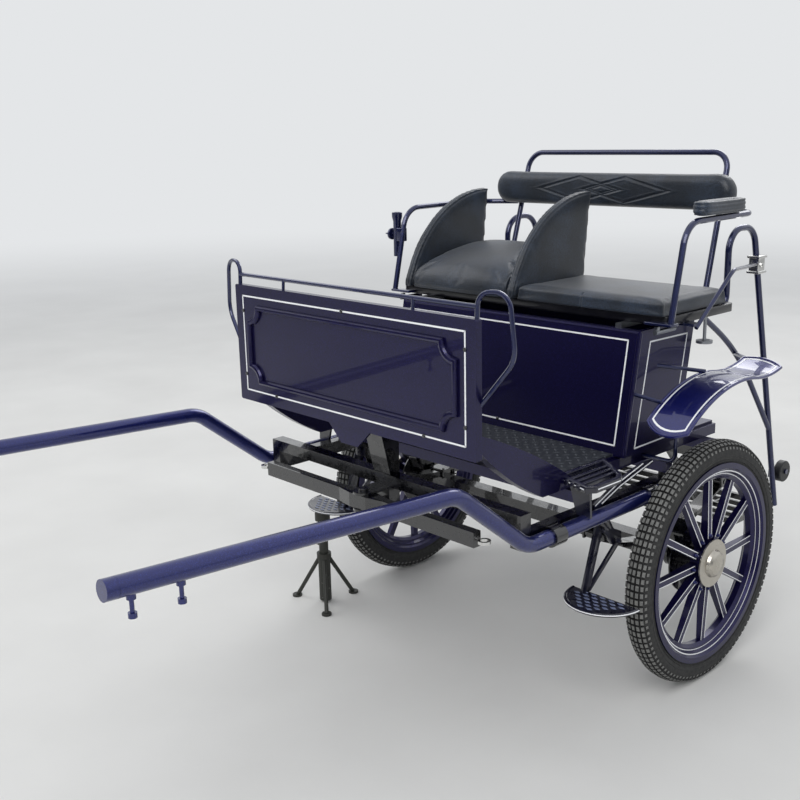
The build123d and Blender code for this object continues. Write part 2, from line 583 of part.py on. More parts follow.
def build():
    """Builds every node of the gig, each seated on the pieces it meets."""
    parts = {}
    for name, piece in (("tyre", tyre()), ("rim", rim()), ("hub", hub()), ("hub_cap", hub_cap())):
        left = on_left(piece)
        parts["left_" + name] = left
        parts["right_" + name] = mirror(left, about=Plane.YZ)
    shafts = pair(shaft())
    whole_shafts = pair(shaft_bar())
    parts["shafts"] = shafts
    parts["shaft_studs"] = shaft_studs(whole_shafts)
    parts["chassis_rails"] = chassis_rails()
    parts["front_crossmember"] = front_crossmember()
    parts["rear_crossmember"] = rear_crossmember()
    parts["swingletree"] = swingletree()
    parts["trace_hooks"] = trace_hooks()
    parts["axle"] = axle()
    parts["brake_calipers"] = calipers()
    parts["springs"] = springs()
    parts["spring_hangers"] = spring_hangers()
    parts["front_mount"] = front_mount()
    parts["body_sills"] = body_sills()
    parts["body_bearers"] = body_bearers()
    parts["body_mounts"] = body_mounts()
    parts["floor_pan"] = floor_pan()
    parts["floor_mat"] = floor_mat() - parts["floor_pan"]
    parts["front_board"] = front_board()
    parts["board_rail"] = board_rail()
    parts["grab_hoops"] = grab_hoops()
    parts["box_front"] = box_front()
    parts["box_sides"] = box_sides()
    parts["box_back"] = box_back()
    parts["seat_slides"] = seat_slides()
    tray = seat_tray()
    parts["seat_tray"] = tray
    parts["passenger_cushion"] = passenger_cushion()
    parts["driver_cushion"] = driver_cushion()
    parts["driver_wings"] = driver_wings()
    bow = backrest_frame(tray)
    parts["backrest_frame"] = bow
    parts["backrest_roll"] = backrest_roll() - bow
    arms = pair(armrest(tray, bow))
    parts["armrests"] = arms
    parts["arm_pads"] = pair(arm_pad()) - arms
    parts["whip_socket"] = whip_socket(arms)
    frames = pair(rear_frame(tray))
    parts["rear_frames"] = frames
    parts["left_roller"] = roller()
    parts["right_roller"] = mirror(roller(), about=Plane.YZ)
    clamps = pair(bar_clamp()) - frames
    parts["bar_clamps"] = clamps
    parts["seat_stays"] = pair(seat_stay()) - clamps - tray
    guards = pair(mudguard())
    parts["mudguards"] = guards
    held = parts["box_sides"] + parts["box_front"] + parts["box_back"] + parts["body_bearers"]
    parts["mudguard_stays"] = pair(guard_stay()) - guards - frames - held
    parts["upper_steps"] = pair(upper_step()) - whole_shafts
    parts["lower_steps"] = pair(lower_step()) - parts["spring_hangers"]
    parts["rear_step"] = rear_step() - frames
    parts["step_struts"] = step_struts() - parts["rear_step"]
    parts["tripod_stand"] = stand()
    return parts


os.makedirs("parts", exist_ok=True)
for node, shape in build().items():
    export_step(Pos(CENTRE_X, AXLE_Y, 0) * shape, "parts/" + node + ".step")
print("middle at X", round(CENTRE_X, 3), "axle at Y", round(AXLE_Y, 3), "roller at", round(ROLLER_Y, 3))
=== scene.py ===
"""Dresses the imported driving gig: enamel, painted lines, leathercloth, tread, fittings and the studio."""

import logging
import math
from collections.abc import Callable, Iterable, Iterator, Sequence
from contextlib import contextmanager
from dataclasses import dataclass
from enum import Enum

import bmesh
import bpy
import numpy as np
from mathutils import Matrix, Vector
from mathutils.kdtree import KDTree


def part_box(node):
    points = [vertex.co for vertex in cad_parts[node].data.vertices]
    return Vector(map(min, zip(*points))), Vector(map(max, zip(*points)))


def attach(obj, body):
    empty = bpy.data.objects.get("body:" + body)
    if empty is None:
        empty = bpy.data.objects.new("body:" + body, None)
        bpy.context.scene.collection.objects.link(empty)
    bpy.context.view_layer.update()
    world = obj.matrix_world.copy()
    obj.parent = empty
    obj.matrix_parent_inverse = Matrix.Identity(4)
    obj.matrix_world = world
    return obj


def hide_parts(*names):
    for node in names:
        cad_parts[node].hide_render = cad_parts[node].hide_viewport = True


log = logging.getLogger("gig")
MM = 0.001

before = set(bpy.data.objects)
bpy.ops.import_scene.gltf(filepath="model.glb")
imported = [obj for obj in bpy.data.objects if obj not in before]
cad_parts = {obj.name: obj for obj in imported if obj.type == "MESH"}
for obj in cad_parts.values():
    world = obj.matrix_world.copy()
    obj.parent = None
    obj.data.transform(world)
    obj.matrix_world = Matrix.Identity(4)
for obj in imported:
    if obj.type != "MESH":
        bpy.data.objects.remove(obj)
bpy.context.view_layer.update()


class Side(Enum):
    """The gig's two sides, with the sign of their X."""

    LEFT = 1
    RIGHT = -1

    @property
    def word(self) -> str:
        """The side's name in the CAD nodes."""
        return self.name.lower()


# Places


def gig_middle() -> Vector:
    """Finds the point on the ground under the middle of the axle.

    Returns:
        That point in the row frame, in metres.
    """
    (left_low, left_high), (right_low, _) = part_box("left_tyre"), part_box("right_tyre")
    return Vector(((left_high.x + right_low.x) / 2, (left_low.y + left_high.y) / 2, 0))


MIDDLE = gig_middle()


def at(x: float, y: float, z: float) -> Vector:
    """Turns millimetres from the ground under the axle's middle into a row frame point."""
    return MIDDLE + Vector((x, y, z)) * MM


# Materials


def linear(hex_colour: str) -> tuple[float, float, float, float]:
    """Turns an sRGB hex colour into Blender's linear one.

    Args:
        hex_colour: Six hex digits, with or without a leading #.

    Returns:
        Linear red, green, blue and a full alpha.
    """
    digits = hex_colour.lstrip("#")
    shares = [int(digits[i:i + 2], 16) / 255 for i in (0, 2, 4)]
    red, green, blue = (s / 12.92 if s <= 0.04045 else ((s + 0.055) / 1.055) ** 2.4 for s in shares)
    return red, green, blue, 1.0


def add_node(tree: bpy.types.NodeTree, kind: str, inputs: dict[str | int, object] | None = None,
             **settings: object) -> bpy.types.Node:
    """Adds a shader node, sets it and links it.

    Args:
        tree: The material's node tree.
        kind: The node's type, without its ShaderNode prefix.
        inputs: Input name or number to a value or to another node's output socket.
        settings: The node's own properties.

    Returns:
        The new node.
    """
    made = tree.nodes.new("ShaderNode" + kind)
    for name, value in settings.items():
        setattr(made, name, value)
    for key, value in (inputs or {}).items():
        if isinstance(value, bpy.types.NodeSocket):
            tree.links.new(value, made.inputs[key])
        else:
            made.inputs[key].default_value = value
    return made


def ramp(tree: bpy.types.NodeTree, factor: bpy.types.NodeSocket,
         stops: Sequence[tuple[float, str]]) -> bpy.types.NodeSocket:
    """Adds a colour ramp between hex colours.

    Args:
        tree: The material's node tree.
        factor: The socket that drives it.
        stops: Position and hex colour of each stop.

    Returns:
        The ramp's colour socket.
    """
    made = add_node(tree, "ValToRGB", {"Fac": factor})
    elements = made.color_ramp.elements
    while len(elements) < len(stops):
        elements.new(0.5)
    for element, (place, colour) in zip(elements, stops):
        element.position, element.color = place, linear(colour)
    return made.outputs["Color"]


def noise(tree: bpy.types.NodeTree, place: bpy.types.NodeSocket, scale: float, detail: float = 2.0,
          roughness: float = 0.5) -> bpy.types.NodeSocket:
    """Adds a noise texture.

    Args:
        tree: The material's node tree.
        place: The socket that says where on the piece it is.
        scale: How many of its lumps lie along a metre.
        detail: How many finer layers it has.
        roughness: How strongly the finer layers show.

    Returns:
        The noise's value socket.
    """
    made = add_node(tree, "TexNoise", {"Vector": place, "Scale": scale, "Detail": detail, "Roughness": roughness})
    return made.outputs["Fac"]


def remap(tree: bpy.types.NodeTree, value: bpy.types.NodeSocket, source: tuple[float, float],
          target: tuple[float, float] = (0.0, 1.0), **settings: object) -> bpy.types.NodeSocket:
    """Maps a value from one range to another, and holds it inside that.

    Args:
        tree: The material's node tree.
        value: The value's socket.
        source: The range that it comes from.
        target: The range that it goes to.
        settings: The node's own properties.

    Returns:
        The mapped value's socket.
    """
    made = add_node(tree, "MapRange", {"Value": value, "From Min": source[0], "From Max": source[1],
                                       "To Min": target[0], "To Max": target[1]}, **settings)
    return made.outputs[0]


def reckon(tree: bpy.types.NodeTree, operation: str, first: bpy.types.NodeSocket | float,
           second: bpy.types.NodeSocket | float) -> bpy.types.NodeSocket:
    """Adds a sum of two values, such as ADD or MULTIPLY.

    Args:
        tree: The material's node tree.
        operation: The Math node's operation.
        first: Its first value.
        second: Its second value.

    Returns:
        The result's socket.
    """
    return add_node(tree, "Math", {0: first, 1: second}, operation=operation).outputs[0]


@dataclass(frozen=True)
class Finish:
    """A finish: its sockets' plain values, and two hooks for its pattern."""

    name: str
    base: str
    roughness: float = 0.5
    metallic: float = 0.0
    coat: float = 0.0
    coat_roughness: float = 0.03
    sheen: float = 0.0

    def tint(self, tree: bpy.types.NodeTree, place: bpy.types.NodeSocket) -> bpy.types.NodeSocket | None:
        """The colour's socket, or None where the base colour is plain."""
        return None

    def rough(self, tree: bpy.types.NodeTree, place: bpy.types.NodeSocket) -> bpy.types.NodeSocket | None:
        """The roughness's socket, or None where it is the same all over."""
        return None

    def relief(self, tree: bpy.types.NodeTree, place: bpy.types.NodeSocket) -> tuple | None:
        """The bump's height socket and its depth in metres, or None."""
        return None

    def material(self) -> bpy.types.Material:
        """Builds the finish's material once.

        Returns:
            The material.
        """
        found = bpy.data.materials.get(self.name)
        if found:
            return found
        made = bpy.data.materials.new(self.name)
        made.use_nodes = True
        made.diffuse_color = linear(self.base)
        tree = made.node_tree
        shader = tree.nodes["Principled BSDF"]
        place = add_node(tree, "TexCoord").outputs["Object"]
        for socket, value in (("Base Color", linear(self.base)), ("Roughness", self.roughness),
                              ("Metallic", self.metallic), ("Coat Weight", self.coat),
                              ("Coat Roughness", self.coat_roughness), ("Sheen Weight", self.sheen)):
            shader.inputs[socket].default_value = value
        for socket, source in (("Base Color", self.tint(tree, place)), ("Roughness", self.rough(tree, place))):
            if source:
                tree.links.new(source, shader.inputs[socket])
        relief = self.relief(tree, place)
        if relief:
            bump = add_node(tree, "Bump", {"Height": relief[0], "Distance": relief[1], "Strength": 1.0})
            tree.links.new(bump.outputs["Normal"], shader.inputs["Normal"])
        return made


@dataclass(frozen=True)
class CoachEnamel(Finish):
    """Metallic coach enamel under clear lacquer: deep, mirror-like, with flake that glints in the light."""

    flake: str = "#3a44a0"
    flake_mm: float = 1.4      # real flake is 0.05 mm; drawn coarse enough to show

    def tint(self, tree: bpy.types.NodeTree, place: bpy.types.NodeSocket) -> bpy.types.NodeSocket:
        """Scatters lighter flake over slow drifts of the base colour."""
        flake = add_node(tree, "TexVoronoi", {"Vector": place, "Scale": 1 / (self.flake_mm * MM)})
        glint = remap(tree, flake.outputs["Color"], (0.55, 1.0), (0.0, 0.35))
        lift = reckon(tree, "MULTIPLY", glint, noise(tree, place, 3.0))
        return ramp(tree, lift, [(0.0, self.base), (0.5, self.flake)])

    def relief(self, tree: bpy.types.NodeTree, place: bpy.types.NodeSocket) -> tuple:
        """The faint orange peel of sprayed lacquer, 6 mm from crest to crest."""
        return noise(tree, place, 160.0, 1.0), 0.00006


@dataclass(frozen=True)
class LineEnamel(Finish):
    """Hand-laid white lining enamel: slightly uneven in body, glossy."""

    def rough(self, tree: bpy.types.NodeTree, place: bpy.types.NodeSocket) -> bpy.types.NodeSocket:
        """Varies the gloss a little along the line."""
        return remap(tree, noise(tree, place, 60.0), (0.0, 1.0), (self.roughness - 0.08, self.roughness + 0.12))


@dataclass(frozen=True)
class ChassisPaint(Finish):
    """Glossy near-black chassis enamel with patches of road dust dulling it."""

    dust: str = "#2c2c33"

    def tint(self, tree: bpy.types.NodeTree, place: bpy.types.NodeSocket) -> bpy.types.NodeSocket:
        """Breaks the black with patches of thin dust, 30 to 60 mm wide."""
        return ramp(tree, noise(tree, place, 22.0, 6.0, 0.6), [(0.45, self.base), (0.75, self.dust)])

    def rough(self, tree: bpy.types.NodeTree, place: bpy.types.NodeSocket) -> bpy.types.NodeSocket:
        """Dust is duller than paint."""
        return remap(tree, noise(tree, place, 22.0, 6.0, 0.6), (0.4, 0.75), (self.roughness, 0.5))


@dataclass(frozen=True)
class Leathercloth(Finish):
    """Charcoal leathercloth, embossed vinyl on knitted cloth: a close pebbled grain with shade painted into its
    hollows, and a soft satin sheen.
    """

    # painted shade for the grain's hollows
    dark: str = "#131a23"
    grain_mm: float = 2.2      # real grain is about 1 mm; drawn coarser so that it shows

    def grain(self, tree: bpy.types.NodeTree, place: bpy.types.NodeSocket) -> bpy.types.NodeSocket:
        """The embossed grain's height."""
        warp = add_node(tree, "TexNoise", {"Vector": place, "Scale": 240.0, "Detail": 2.0})
        offset = add_node(tree, "VectorMath", {0: warp.outputs["Color"], 1: (0.0012, 0.0012, 0.0012)},
                          operation="MULTIPLY")
        moved = add_node(tree, "VectorMath", {0: place, 1: offset.outputs[0]}, operation="ADD")
        cells = add_node(tree, "TexVoronoi", {"Vector": moved.outputs[0], "Scale": 1 / (self.grain_mm * MM)},
                         feature="SMOOTH_F1")
        return cells.outputs["Distance"]

    def tint(self, tree: bpy.types.NodeTree, place: bpy.types.NodeSocket) -> bpy.types.NodeSocket:
        """Paints shade into the grain's hollows and drifts the colour over a hand's width."""
        total = reckon(tree, "ADD", self.grain(tree, place), noise(tree, place, 9.0, 4.0))
        return ramp(tree, total, [(0.35, self.base), (1.1, self.dark)])

    def relief(self, tree: bpy.types.NodeTree, place: bpy.types.NodeSocket) -> tuple:
        """The grain stands up where its cells are, so the height is turned over."""
        return reckon(tree, "SUBTRACT", 1.0, self.grain(tree, place)), 0.0004


@dataclass(frozen=True)
class TyreRubber(Finish):
    """Carbon-black tyre rubber: matt, greyed by dust on the faces that the road wears."""

    dust: str = "#5b5a57"

    def tint(self, tree: bpy.types.NodeTree, place: bpy.types.NodeSocket) -> bpy.types.NodeSocket:
        """Mottles fine dust over the rubber."""
        return ramp(tree, noise(tree, place, 90.0, 8.0, 0.7), [(0.35, self.base), (0.8, self.dust)])

    def relief(self, tree: bpy.types.NodeTree, place: bpy.types.NodeSocket) -> tuple:
        """Fine scuffing."""
        return noise(tree, place, 400.0, 3.0), 0.0003


@dataclass(frozen=True)
class Chrome(Finish):
    """Chrome plate on turned steel: bright, with the faint circular haze that wiping leaves."""

    def rough(self, tree: bpy.types.NodeTree, place: bpy.types.NodeSocket) -> bpy.types.NodeSocket:
        """Hazes the plate in small patches."""
        haze = noise(tree, place, 45.0, 6.0, 0.65)
        return remap(tree, haze, (0.35, 0.75), (self.roughness, self.roughness + 0.16))


@dataclass(frozen=True)
class TreadMat(Finish):
    """Moulded black rubber matting with crossed lenticular studs: dull, dusty, lighter on the studs' tops."""

    stud: str = "#474b50"
    pitch_mm: float = 26.0

    def studs(self, tree: bpy.types.NodeTree, place: bpy.types.NodeSocket) -> bpy.types.NodeSocket:
        """The height of lenses that lie across each other in turn, from 0 to 1."""
        turned = add_node(tree, "Mapping", {"Vector": place, "Rotation": (0.0, 0.0, math.pi / 4),
                                            "Scale": (1 / (self.pitch_mm * MM),) * 3})
        cell = add_node(tree, "VectorMath", {0: turned.outputs[0]}, operation="FLOOR")
        inner = add_node(tree, "VectorMath", {0: turned.outputs[0]}, operation="FRACTION")
        centred = add_node(tree, "VectorMath", {0: inner.outputs[0], 1: (0.5, 0.5, 0.5)}, operation="SUBTRACT")
        ids = add_node(tree, "SeparateXYZ", {0: cell.outputs[0]})
        xy = add_node(tree, "SeparateXYZ", {0: centred.outputs[0]})
        odd = reckon(tree, "FLOORED_MODULO", reckon(tree, "ADD", ids.outputs[0], ids.outputs[1]), 2.0)
        squares = []
        for first, second, squeeze in ((0, 1, 2.2), (1, 0, 6.5)):
            axis = add_node(tree, "Mix", {0: odd, 2: xy.outputs[first], 3: xy.outputs[second]}).outputs[0]
            squares.append(reckon(tree, "POWER", reckon(tree, "MULTIPLY", axis, squeeze), 2.0))
        return remap(tree, reckon(tree, "ADD", *squares), (1.0, 0.25))

    def tint(self, tree: bpy.types.NodeTree, place: bpy.types.NodeSocket) -> bpy.types.NodeSocket:
        """Colours the studs lighter than the mat between them, by their height."""
        return ramp(tree, self.studs(tree, place), [(0.0, self.base), (1.0, self.stud)])

    def relief(self, tree: bpy.types.NodeTree, place: bpy.types.NodeSocket) -> tuple:
        """Studs about 1 mm high."""
        return self.studs(tree, place), 0.0015


@dataclass(frozen=True)
class WornPaint(Finish):
    """Old olive stand paint, brushed on: chalky, scraped to grey steel in places."""

    bare: str = "#6b6a64"

    def tint(self, tree: bpy.types.NodeTree, place: bpy.types.NodeSocket) -> bpy.types.NodeSocket:
        """Scrapes the paint off in flecks 5 to 15 mm long."""
        flecks = noise(tree, place, 75.0, 7.0, 0.7)
        return ramp(tree, flecks, [(0.5, self.base), (0.62, self.base), (0.68, self.bare)])

    def relief(self, tree: bpy.types.NodeTree, place: bpy.types.NodeSocket) -> tuple:
        """Brush marks and chips."""
        return noise(tree, place, 120.0, 4.0), 0.0003


@dataclass(frozen=True)
class PaleScreed(Finish):
    """Pale smooth cement screed for the studio floor, faintly clouded."""

    cloud: str = "#d9d8d5"

    def tint(self, tree: bpy.types.NodeTree, place: bpy.types.NodeSocket) -> bpy.types.NodeSocket:
        """Clouds a metre or so across."""
        return ramp(tree, noise(tree, place, 1.3, 5.0), [(0.3, self.base), (0.7, self.cloud)])


NAVY = CoachEnamel("navy_metallic_enamel", "#100b38", roughness=0.34, metallic=0.6, coat=0.4, flake="#35308e")
WING_BLUE = CoachEnamel("blue_metallic_wing_enamel", "#10155a", roughness=0.3, metallic=0.5, coat=1.0, flake="#2c38a4")
TUBE_NAVY = CoachEnamel("navy_tube_enamel", "#121a44", roughness=0.3, metallic=0.6, coat=1.0, flake="#33428c")
SHAFT_BLUE = CoachEnamel("blue_metallic_tube_enamel", "#131b5c", roughness=0.3, metallic=0.65, coat=1.0,
                         flake="#3b4cb4")
LINING = LineEnamel("white_lining_enamel", "#f2f3f5", roughness=0.3, coat=0.5)
CHASSIS_BLACK = ChassisPaint("black_chassis_enamel", "#050509", roughness=0.16, coat=1.0, dust="#15151b")
LEATHER = Leathercloth("charcoal_leathercloth", "#37455a", roughness=0.38, sheen=0.15)
RUBBER = TyreRubber("black_tyre_rubber", "#1a1a1b", roughness=0.72, dust="#3c3c3b")
BLOCK_RUBBER = TyreRubber("worn_tread_rubber", "#5c5d5c", roughness=0.7, dust="#8b8a86")
CHROME = Chrome("chrome_plate", "#d4d4d2", roughness=0.1, metallic=1.0)
NICKEL = Chrome("satin_nickel_plate", "#bdb8ae", roughness=0.26, metallic=1.0)
ZINC = Chrome("zinc_plated_steel", "#9a9da2", roughness=0.3, metallic=1.0)
MAT = TreadMat("rubber_stud_matting", "#1b1f25", roughness=0.55)
TRAY_BLACK = ChassisPaint("black_board_paint", "#090910", roughness=0.3, coat=0.4, dust="#17171d")
STEP_NAVY = ChassisPaint("navy_step_paint", "#0a0b20", roughness=0.25, coat=0.8, dust="#1b1c30")
# the raised lozenges are coloured paler than the step plate
STUD_ENAMEL = LineEnamel("pale_stud_enamel", "#6f7896", roughness=0.35, coat=0.4)
OLIVE = WornPaint("worn_olive_stand_paint", "#2b2c27", roughness=0.55)
SOLID_RUBBER = TyreRubber("black_roller_rubber", "#0e0f11", roughness=0.45, dust="#26272a")
SCREED = PaleScreed("pale_cement_screed", "#e3e2df", roughness=0.85)
BACKDROP = "#e4e6e8"

NODE_FINISHES: dict[Finish, tuple[str, ...]] = {
    NAVY: ("floor_pan", "front_board", "box_front", "box_sides", "box_back", "mudguards", "left_rim", "right_rim",
           "body_sills", "body_bearers"),
    SHAFT_BLUE: ("shafts", "shaft_studs"),
    TUBE_NAVY: ("board_rail", "grab_hoops", "backrest_frame", "armrests", "rear_frames", "seat_stays",
                "mudguard_stays", "whip_socket"),
    CHASSIS_BLACK: ("chassis_rails", "front_crossmember", "rear_crossmember", "swingletree", "axle",
                    "brake_calipers", "springs", "spring_hangers", "front_mount", "rear_step", "step_struts",
                    "left_hub", "right_hub"),
    STEP_NAVY: ("upper_steps", "lower_steps"),
    ZINC: ("seat_slides",),
    CHROME: ("bar_clamps", "trace_hooks"),
    NICKEL: ("left_hub_cap", "right_hub_cap"),
    RUBBER: ("left_tyre", "right_tyre"),
    SOLID_RUBBER: ("left_roller", "right_roller", "body_mounts"),
    MAT: ("floor_mat",),
    TRAY_BLACK: ("seat_tray",),
    LEATHER: ("passenger_cushion", "driver_cushion", "driver_wings", "backrest_roll", "arm_pads"),
    OLIVE: ("tripod_stand",),
}


# Modelling


def alone(piece: bpy.types.Object) -> None:
    """Deselects everything and makes one piece selected and active."""
    for other in list(bpy.context.selected_objects):
        other.select_set(False)
    piece.select_set(True)
    bpy.context.view_layer.objects.active = piece


@contextmanager
def editing(piece: bpy.types.Object, everything: bool = False) -> Iterator[bmesh.types.BMesh]:
    """Holds one piece in edit mode, with all or nothing of it selected.

    Args:
        piece: The piece to edit.
        everything: Whether all of it is selected at the start.

    Yields:
        Its edit mesh.
    """
    alone(piece)
    bpy.ops.object.mode_set(mode="EDIT")
    bpy.ops.mesh.select_mode(type="FACE")
    bpy.ops.mesh.select_all(action="SELECT" if everything else "DESELECT")
    yield bmesh.from_edit_mesh(piece.data)
    bpy.ops.object.mode_set(mode="OBJECT")


def face_out() -> None:
    """Turns every face of the piece in edit mode outwards."""
    bpy.ops.mesh.select_all(action="SELECT")
    bpy.ops.mesh.normals_make_consistent(inside=False)


def extrude(run: Sequence[float]) -> None:
    """Extrudes what is selected of the piece in edit mode along a run, and turns all its faces outwards."""
    bpy.ops.mesh.extrude_region_move(TRANSFORM_OT_translate={"value": run})
    face_out()


def keep_band(width: float) -> None:
    """Cuts the selected face of the piece in edit mode down to a band along its edge."""
    bpy.ops.mesh.inset(thickness=width, use_even_offset=True)
    bpy.ops.mesh.delete(type="FACE")


def pick(piece: bpy.types.Object, test: Callable[[bmesh.types.BMFace], bool]) -> None:
    """Selects the faces of the piece in edit mode that pass a test, and no others."""
    mesh = bmesh.from_edit_mesh(piece.data)
    for face in mesh.faces:
        face.select_set(test(face))
    mesh.select_flush_mode()
    bmesh.update_edit_mesh(piece.data)


def start(kind: str, name: str, **options: object) -> bpy.types.Object:
    """Adds a mesh primitive, alone, and names it.

    Args:
        kind: The primitive's operator name, such as cube.
        name: The piece's name.
        options: The operator's own options.

    Returns:
        The new object.
    """
    for other in list(bpy.context.selected_objects):
        other.select_set(False)
    getattr(bpy.ops.mesh, f"primitive_{kind}_add")(**options)
    piece = bpy.context.object
    piece.name = piece.data.name = name
    return piece


def move_points(piece: bpy.types.Object, points: Iterable[Sequence[float]]) -> None:
    """Puts a mesh's vertices at given places, in order."""
    for vertex, point in zip(piece.data.vertices, points):
        vertex.co = point
    piece.data.update()


def modify(piece: bpy.types.Object, kind: str, **settings: object) -> None:
    """Adds a modifier, sets it and applies it."""
    alone(piece)
    added = piece.modifiers.new(kind.title(), kind)
    for name, value in settings.items():
        setattr(added, name, value)
    bpy.ops.object.modifier_apply(modifier=added.name)


def duplicate(piece: bpy.types.Object, turn: Matrix) -> bpy.types.Object:
    """Copies a piece with its own mesh, moved by a matrix."""
    copy = bpy.data.objects.new(piece.name, piece.data.copy())
    bpy.context.scene.collection.objects.link(copy)
    copy.data.transform(turn)
    return copy


def join(pieces: Sequence[bpy.types.Object], name: str) -> bpy.types.Object:
    """Joins pieces into the first.

    Args:
        pieces: The pieces, whose objects all sit at the origin.
        name: The joined piece's name.

    Returns:
        The joined piece.
    """
    alone(pieces[0])
    for piece in pieces[1:]:
        piece.select_set(True)
    if len(pieces) > 1:
        bpy.ops.object.join()
    pieces[0].name = pieces[0].data.name = name
    return pieces[0]


def mirrored(piece: bpy.types.Object, name: str | None = None) -> bpy.types.Object:
    """Copies a left piece to the right, across the gig's middle plane, with its faces outwards."""
    to_middle = Matrix.Translation((MIDDLE.x, 0, 0))
    copy = duplicate(piece, to_middle @ Matrix.Diagonal((-1, 1, 1, 1)) @ to_middle.inverted())
    copy.data.flip_normals()
    if name:
        copy.name = copy.data.name = name
    return copy


def settle(piece: bpy.types.Object, body: str, finish: Finish, slot: str, *replaced: str,
           smooth: float | None = 35.0) -> bpy.types.Object:
    """Finishes a piece: its place goes into its mesh, and it gets its material and body.

    Args:
        piece: The piece.
        body: The CAD body that it rides on.
        finish: Its finish.
        slot: The record's material slot; not used.
        replaced: The CAD nodes that it stands for.
        smooth: The angle under which its edges shade smooth, in degrees, or None for flat shading.

    Returns:
        The piece.
    """
    alone(piece)
    bpy.ops.object.transform_apply(location=True, rotation=True, scale=True)
    if smooth is not None:
        bpy.ops.object.shade_smooth_by_angle(angle=math.radians(smooth))
    piece.data.materials.clear()
    piece.data.materials.append(finish.material())
    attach(piece, body)
    if replaced:
        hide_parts(*replaced)
    log.info("%s rides on %s: %d faces", piece.name, body, len(piece.data.polygons))
    return piece


def both_sides(pieces: Sequence[bpy.types.Object], name: str, finish: Finish, slot: str, *replaced: str) -> None:
    """Joins pieces of the left side, mirrors them to the right and settles both as one piece on the chassis.

    Args:
        pieces: The left pieces.
        name: The name of what they make.
        finish: Its finish.
        slot: The record's material slot.
        replaced: The CAD nodes that it stands for.
    """
    left = join(pieces, name)
    settle(join([left, mirrored(left)], name), "chassis", finish, slot, *replaced)


def ring_of(piece: bpy.types.Object, count: int, centre: Vector) -> None:
    """Repeats a piece round an axle that runs along X.

    Args:
        piece: The piece, at the origin.
        count: How many there are in all.
        centre: A point on the axle.
    """
    hub = bpy.data.objects.new("array_turn", None)
    bpy.context.scene.collection.objects.link(hub)
    step = Matrix.Rotation(math.tau / count, 4, "X")
    hub.matrix_world = Matrix.Translation(centre) @ step @ Matrix.Translation(-centre)
    bpy.context.view_layer.update()
    modify(piece, "ARRAY", count=count, use_relative_offset=False, use_object_offset=True, offset_object=hub)
    bpy.data.objects.remove(hub)


def outline(name: str, corners: Sequence[Vector], width: float, bend: float, lift: float = 0.4 * MM,
            segments: int = 5) -> bpy.types.Object:
    """Makes a painted line round a flat outline, as a thin raised strip.

    Args:
        name: The piece's name.
        corners: The outline's corners, anticlockwise as seen from outside.
        width: The line's width.
        bend: How far from a corner its rounding starts.
        lift: The strip's thickness.
        segments: The rounding's steps.

    Returns:
        The strip.
    """
    piece = start("circle", name, vertices=len(corners), fill_type="NGON")
    move_points(piece, corners)
    with editing(piece, everything=True):
        bpy.ops.mesh.bevel(offset=bend, segments=segments, affect="VERTICES")
        keep_band(width)
        face_out()
    normal = (corners[1] - corners[0]).cross(corners[2] - corners[1]).normalized()
    with editing(piece, everything=True):
        extrude(normal * lift)
    return piece


def strip(name: str, start_at: Vector, end_at: Vector, width: float, normal: Vector,
          lift: float = 0.4 * MM) -> bpy.types.Object:
    """Makes a straight painted line as a thin raised strip with rounded ends.

    Args:
        name: The piece's name.
        start_at: The middle of one end.
        end_at: The middle of the other.
        width: The line's width.
        normal: The surface's outward normal.
        lift: The strip's thickness.

    Returns:
        The strip.
    """
    side = normal.cross(end_at - start_at).normalized() * width / 2
    piece = start("plane", name, size=1)
    move_points(piece, [start_at - side, start_at + side, end_at - side, end_at + side])
    with editing(piece, everything=True):
        bpy.ops.mesh.bevel(offset=width * 0.45, segments=3, affect="VERTICES")
        extrude(normal * lift)
    return piece


def spun(name: str, section: Sequence[tuple[float, float]], steps: int, centre: Vector) -> bpy.types.Object:
    """Spins a closed section round an axle that runs along X.

    Args:
        name: The piece's name.
        section: Its corners as (x, radius), in millimetres.
        steps: How many steps the turn has.
        centre: The axle's middle.

    Returns:
        The ring.
    """
    piece = start("circle", name, vertices=len(section), fill_type="NOTHING")
    move_points(piece, [(x * MM, 0, r * MM) for x, r in section])
    with editing(piece, everything=True):
        bpy.ops.mesh.spin(steps=steps, angle=math.tau, center=(0, 0, 0), axis=(1, 0, 0))
        bpy.ops.mesh.select_all(action="SELECT")
        bpy.ops.mesh.remove_doubles(threshold=1e-6)
        face_out()
    piece.data.transform(Matrix.Translation(centre))
    return piece


def stand(piece: bpy.types.Object, place: Vector, out: Vector) -> None:
    """Moves a piece that was modelled upwards from the origin to a place, pointing outwards."""
    alone(piece)
    bpy.ops.object.transform_apply(location=True, rotation=True, scale=True)
    turn = Vector((0, 0, 1)).rotation_difference(out).to_matrix().to_4x4()
    piece.data.transform(Matrix.Translation(place) @ turn)


def hex_bolt(name: str, place: Vector, out: Vector, across: float) -> bpy.types.Object:
    """Makes a hexagon nut on a washer, with its stud end showing.

    Args:
        name: The piece's name.
        place: Where the washer meets the surface.
        out: The direction in which the nut points.
        across: The nut's width across its corners.

    Returns:
        The nut.
    """
    washer = start("cylinder", name, vertices=20, radius=across * 0.62, depth=across * 0.1,
                   location=(0, 0, across * 0.05))
    nut = start("cylinder", name, vertices=6, radius=across / 2, depth=across * 0.45,
                location=(0, 0, across * 0.32))
    stud = start("cylinder", name, vertices=12, radius=across * 0.27, depth=across * 0.3,
                 location=(0, 0, across * 0.65))
    for part, margin, rise in ((nut, 0.07, 0.04), (stud, 0.05, 0.03)):
        with editing(part):
            pick(part, lambda face: face.normal.z > 0.9)
            bpy.ops.mesh.inset(thickness=across * margin)
            bpy.ops.transform.translate(value=(0, 0, across * rise))
    for part in (washer, nut, stud):
        stand(part, place, out)
    return join([washer, nut, stud], name)


